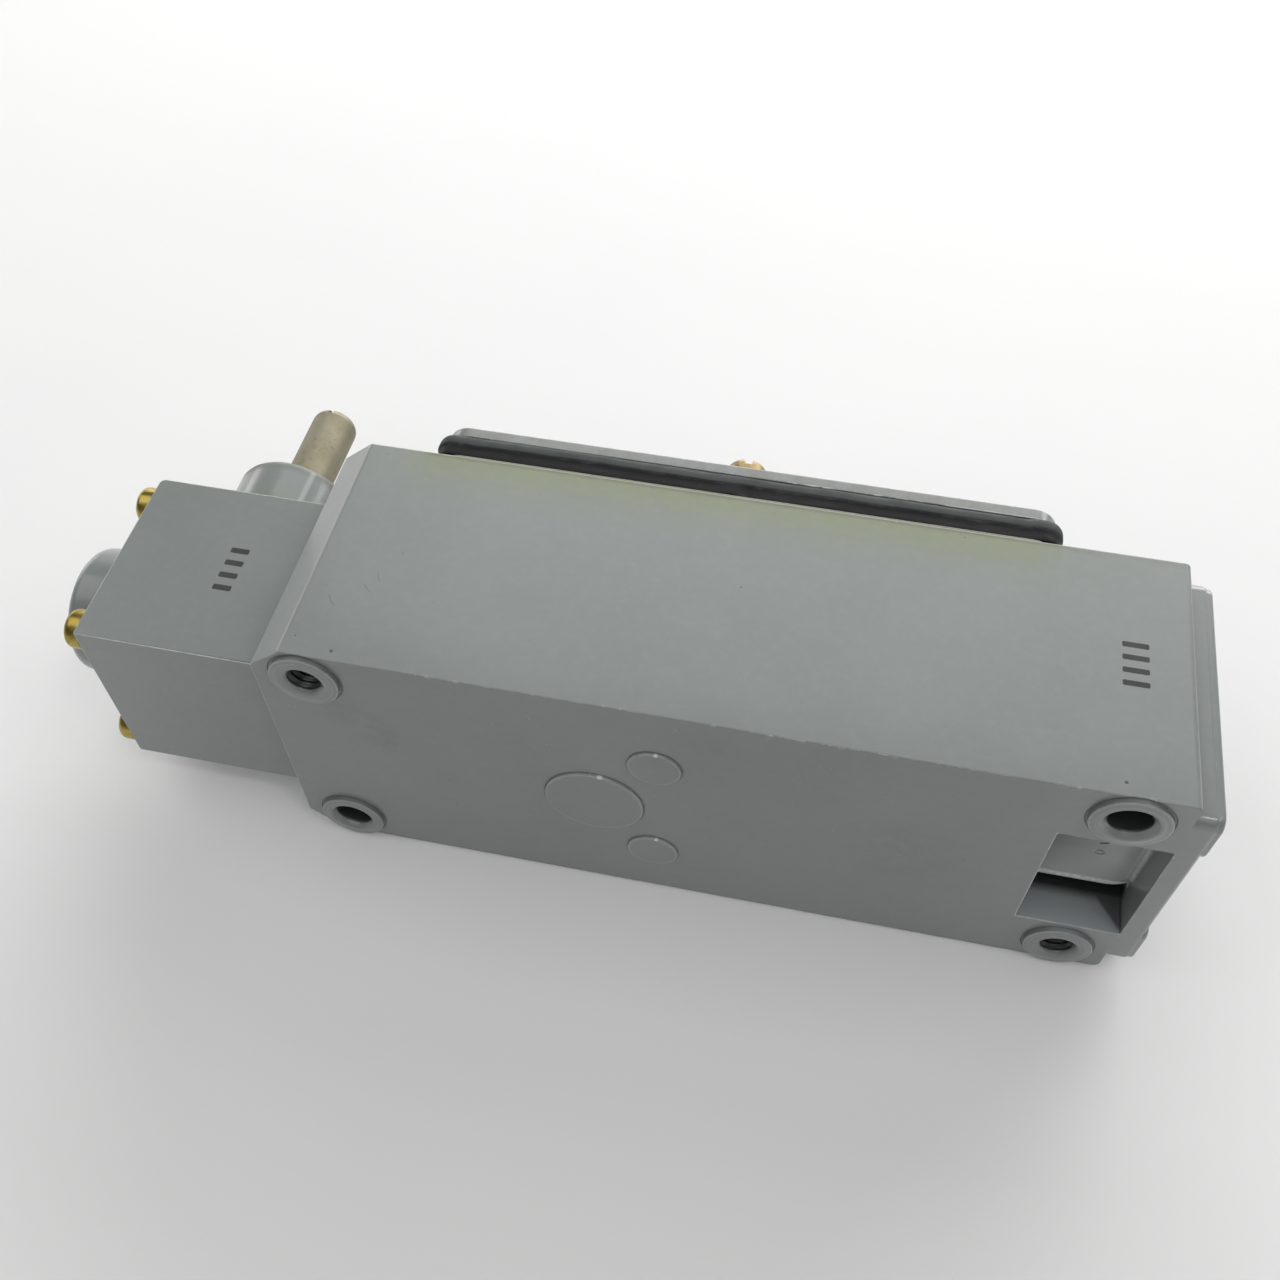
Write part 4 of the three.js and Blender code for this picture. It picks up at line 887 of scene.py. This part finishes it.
def build_shaft():
    R = 4.76
    prof = [(0, 6.2), (R - 0.7, 6.2), (R, 6.9), (R, 31.5), (4.1, 31.5), (4.1, 32.4), (R, 32.4), (R, 60), (R, 70), (R, 77.8)]
    prof += arc((R - 2.2, 77.8), 2.2, 0, 90, 10)[1:]
    prof += [(0, 80)]
    s = lathe(prof, "Y", AX, MID, 72, "shaft")
    cut(s, prism(rect(AX - 0.56, AX + 0.56, MID - 8, MID + 8), "Y", 78.1, 84, 0.15, 0, 2))
    cut(s, lathe([(0, AX - 12), (1.35, AX - 12), (1.35, AX + 12), (0, AX + 12)], "X", 29.2, MID, 20))
    finish_piece(s, "operating_shaft_steel", MAT["shaft_steel"], "shaft", ("operating_shaft",), 40)
    seal = lathe([(5.6, 49.3), (7.0, 49.3), (7.2, 49.5), (7.2, 55.6), (7.0, 55.9), (6.4, 56.05), (5.9, 55.8), (5.3, 55.1), (5.02, 54.5), (5.02, 53.6), (5.3, 53.0), (5.6, 52.6), (5.6, 49.3)], "Y", AX, MID, 64, "seal")
    finish_piece(seal, "shaft_seal_rubber", MAT["black_rubber"], "enclosure", ("shaft_seal",), 40)


def coil(x0, x1, cy, cz, r, wire, turns, name, node, n_ring=14, per_turn=32):
    """Round-wire compression spring along X, with closed and ground-looking ends."""
    bm = bmesh.new()
    rows = []
    n = int(turns * per_turn)
    end = 0.8 / turns
    for i in range(n + 1):
        t = i / n
        # the end turns close up
        e = 0.0
        if t < end:
            e = (t / end) ** 2 * end * 0.5
        elif t > 1 - end:
            e = 1 - ((1 - t) / end) ** 2 * end * 0.5
        else:
            e = end * 0.5 + (t - end) * (1 - end) / (1 - 2 * end)
        e = min(max(e, 0), 1)
        a = t * turns * 2 * math.pi
        c = Vector((x0 + wire + (x1 - x0 - 2 * wire) * e, cy + r * math.cos(a), cz + r * math.sin(a)))
        rad = Vector((0, math.cos(a), math.sin(a)))
        tan = Vector(((x1 - x0) / (turns * 2 * math.pi), -r * math.sin(a), r * math.cos(a))).normalized()
        bi = tan.cross(rad).normalized()
        rows.append([bm.verts.new(c + wire * (math.cos(q) * rad + math.sin(q) * bi)) for q in [2 * math.pi * k / n_ring for k in range(n_ring)]])
    for a, b in zip(rows, rows[1:]):
        for k in range(n_ring):
            bm.faces.new((a[k], a[(k + 1) % n_ring], b[(k + 1) % n_ring], b[k]))
    bm.faces.new(rows[0][::-1])
    bm.faces.new(rows[-1])
    o = obj_from(bm, name)
    o.data.transform(TO_ROW)
    o.data.materials.append(MAT["spring_steel"])
    for p in o.data.polygons:
        p.use_smooth = True
    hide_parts(node)
    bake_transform(o)
    return o


housing = build_housing()
build_cover()
build_gasket()
build_head()
build_screws()
build_shaft()
coil(-49.2, -40.9, AY, MID, 5.5, 0.7, 4, "head_spring_coil", "head_spring")
coil(60.3, 74.7, 21.9, MID, 3.7, 0.5, 6, "carrier_spring_coil", "carrier_spring")


# ------------------------------------------------------------------ ink marks: plain bars that spell nothing


def ink(x0, x1, y0, y1, z, name, cells):
    """Thin printed bars on an upper side face, one per cell, each a closed sliver of ink."""
    bm = bmesh.new()
    for u0, u1, v0, v1 in cells:
        a0, a1 = x0 + (x1 - x0) * u0, x0 + (x1 - x0) * u1
        b0, b1 = y0 + (y1 - y0) * v0, y0 + (y1 - y0) * v1
        o = rect(a0, a1, b0, b1, min(a1 - a0, b1 - b0) * 0.25, 3)
        lo = [bm.verts.new((p.x, p.y, z - 0.02)) for p in o]
        hi = [bm.verts.new((p.x, p.y, z + 0.003)) for p in o]
        n = len(o)
        for i in range(n):
            bm.faces.new((lo[i], lo[(i + 1) % n], hi[(i + 1) % n], hi[i]))
        bm.faces.new(lo[::-1])
        bm.faces.new(hi)
    o = obj_from(bm, name)
    return finish_piece(o, name, MAT["black_ink"], "enclosure", (), 30, weld=0)


BARS = [(0.0, 1.0, 0.02 + 0.26 * k, 0.13 + 0.26 * k) for k in range(4)]
ink(-21.5, -18.0, 17.3, 28.4, 48.4, "ink_marks_head", BARS)
ink(134.2, 138.5, 20.4, 30.3, 58.7, "ink_marks_body", BARS)


# ------------------------------------------------------------------ inner pieces: CAD meshes with their own finish

INNER = {
    "head_gasket": "black_rubber", "plunger_seal": "black_rubber",
    "shaft_bushing_front": "bronze", "shaft_bushing_rear": "bronze", "plunger_guide": "bronze",
    "shaft_cam": "bright_steel", "cam_pin": "spring_steel", "shaft_retaining_ring": "spring_steel",
    "plunger": "bright_steel", "spring_follower": "bright_steel",
    "contact_block": "dark_moulding", "contact_block_cover": "fibre", "contact_carrier": "light_moulding",
    "moving_contact_1": "copper", "moving_contact_2": "copper",
    "cover_screw_retainer_1": "fibre", "cover_screw_retainer_2": "fibre",
    "ground_screw": "green_steel", "block_screw_1": "bright_steel", "block_screw_2": "bright_steel",
}
for i in range(1, 5):
    INNER[f"fixed_contact_{i}"] = "brass"
    INNER[f"terminal_screw_{i}"] = "bright_steel"
for node, mat in INNER.items():
    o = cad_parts[node]
    o.data.materials.clear()
    o.data.materials.append(MAT[mat])
    for p in o.data.polygons:
        p.material_index = 0
        p.use_smooth = True
    o.data.set_sharp_from_angle(angle=math.radians(32))


# ------------------------------------------------------------------ stage, light and camera


def studio():
    bm = bmesh.new()
    s = 1.3
    v = [bm.verts.new(c) for c in ((-s, -s, -0.0003), (s, -s, -0.0003), (s, s, -0.0003), (-s, s, -0.0003))]
    bm.faces.new(v)
    floor = obj_from(bm, "floor")
    m = Nodes("floor_paper")
    c = m.mix(m.rng(m.noise(4, 3), 0.3, 0.7), (0.80, 0.80, 0.80), (0.83, 0.83, 0.825))
    m.set(Base_Color=c, Roughness=0.85, Specular_IOR_Level=0.15)
    floor.data.materials.append(m.mat)

    w = bpy.data.worlds.new("room")
    w.use_nodes = True
    bg = w.node_tree.nodes.get("Background") or w.node_tree.nodes.new("ShaderNodeBackground")
    bg.inputs[0].default_value = (0.97, 0.98, 1.0, 1)
    # pale walls near the horizon, dark ceiling
    tree = w.node_tree
    way = tree.nodes.new("ShaderNodeTexCoord")
    part = tree.nodes.new("ShaderNodeSeparateXYZ")
    fade = tree.nodes.new("ShaderNodeMapRange")
    fade.inputs["From Min"].default_value = 0.03
    fade.inputs["From Max"].default_value = 0.38
    fade.inputs["To Min"].default_value = 0.4
    fade.inputs["To Max"].default_value = 0.02
    tree.links.new(way.outputs["Generated"], part.inputs[0])
    tree.links.new(part.outputs[2], fade.inputs["Value"])
    tree.links.new(fade.outputs["Result"], bg.inputs[1])
    scene.world = w

    def area(name, loc, target, size, power, colour=(1, 1, 1), size_y=None):
        l = bpy.data.lights.new(name, "AREA")
        l.energy = power
        l.color = colour
        l.shape = "RECTANGLE"
        l.size = size
        l.size_y = size_y or size
        o = bpy.data.objects.new(name, l)
        coll.objects.link(o)
        o.location = loc
        o.rotation_euler = (Vector(target) - Vector(loc)).to_track_quat("-Z", "Y").to_euler()
        return o

    area("back_low", (0.1, 0.85, 0.35), (0, 0, 0.02), 1.4, 10.8, (1.0, 1.0, 0.995), 0.5)
    area("back_far", (0.0, 2.2, 2.0), (0, 0, 0), 2.4, 18.2, (1.0, 0.998, 0.99), 1.6)
    area("front_high", (0.0, -0.7, 1.0), (0, 0, 0), 1.2, 4.1, (1.0, 1.0, 1.0), 0.8)
    area("top_left", (-0.7, 0.0, 0.9), (0, 0, 0), 0.8, 3.0, (0.99, 1.0, 1.0), 0.8)
    area("left_far", (-1.45, 0.95, 0.22), (-0.03, 0, 0.05), 1.0, 3.0, (1.0, 1.0, 1.0), 0.4)
    area("ceiling_lamp", (0.46, -0.36, 1.04), (0, 0, 0.03), 0.08, 0.75, (1.0, 0.995, 0.98), 0.08)
    area("top_right", (0.7, 0.0, 0.9), (0, 0, 0), 0.8, 2.7, (1.0, 1.0, 1.0), 0.8)


studio()

cam = bpy.data.cameras.new("camera")
cam.sensor_width = 36
cam.sensor_fit = "AUTO"
cam.lens = 37.15
cam.clip_start = 0.01
cam.clip_end = 20
co = bpy.data.objects.new("camera", cam)
coll.objects.link(co)
pitch, az, roll = math.radians(53.464), math.radians(12.2585), math.radians(0.672)
fwd = Vector((-math.sin(az) * math.cos(pitch), math.cos(az) * math.cos(pitch), -math.sin(pitch)))
right = Vector((math.cos(az), math.sin(az), 0))
down = fwd.cross(right)
c, s = math.cos(roll), math.sin(roll)
r2 = right * c + down * s
d2 = -right * s + down * c
rot = Matrix((r2, -d2, -fwd)).transposed().to_4x4()
co.matrix_world = Matrix.Translation((0.035391, -0.150730, 0.231704)) @ rot
scene.camera = co

scene.view_settings.view_transform = "Standard"
scene.view_settings.look = "None"
scene.view_settings.exposure = 0.0
scene.view_settings.gamma = 1.0

bpy.context.view_layer.update()
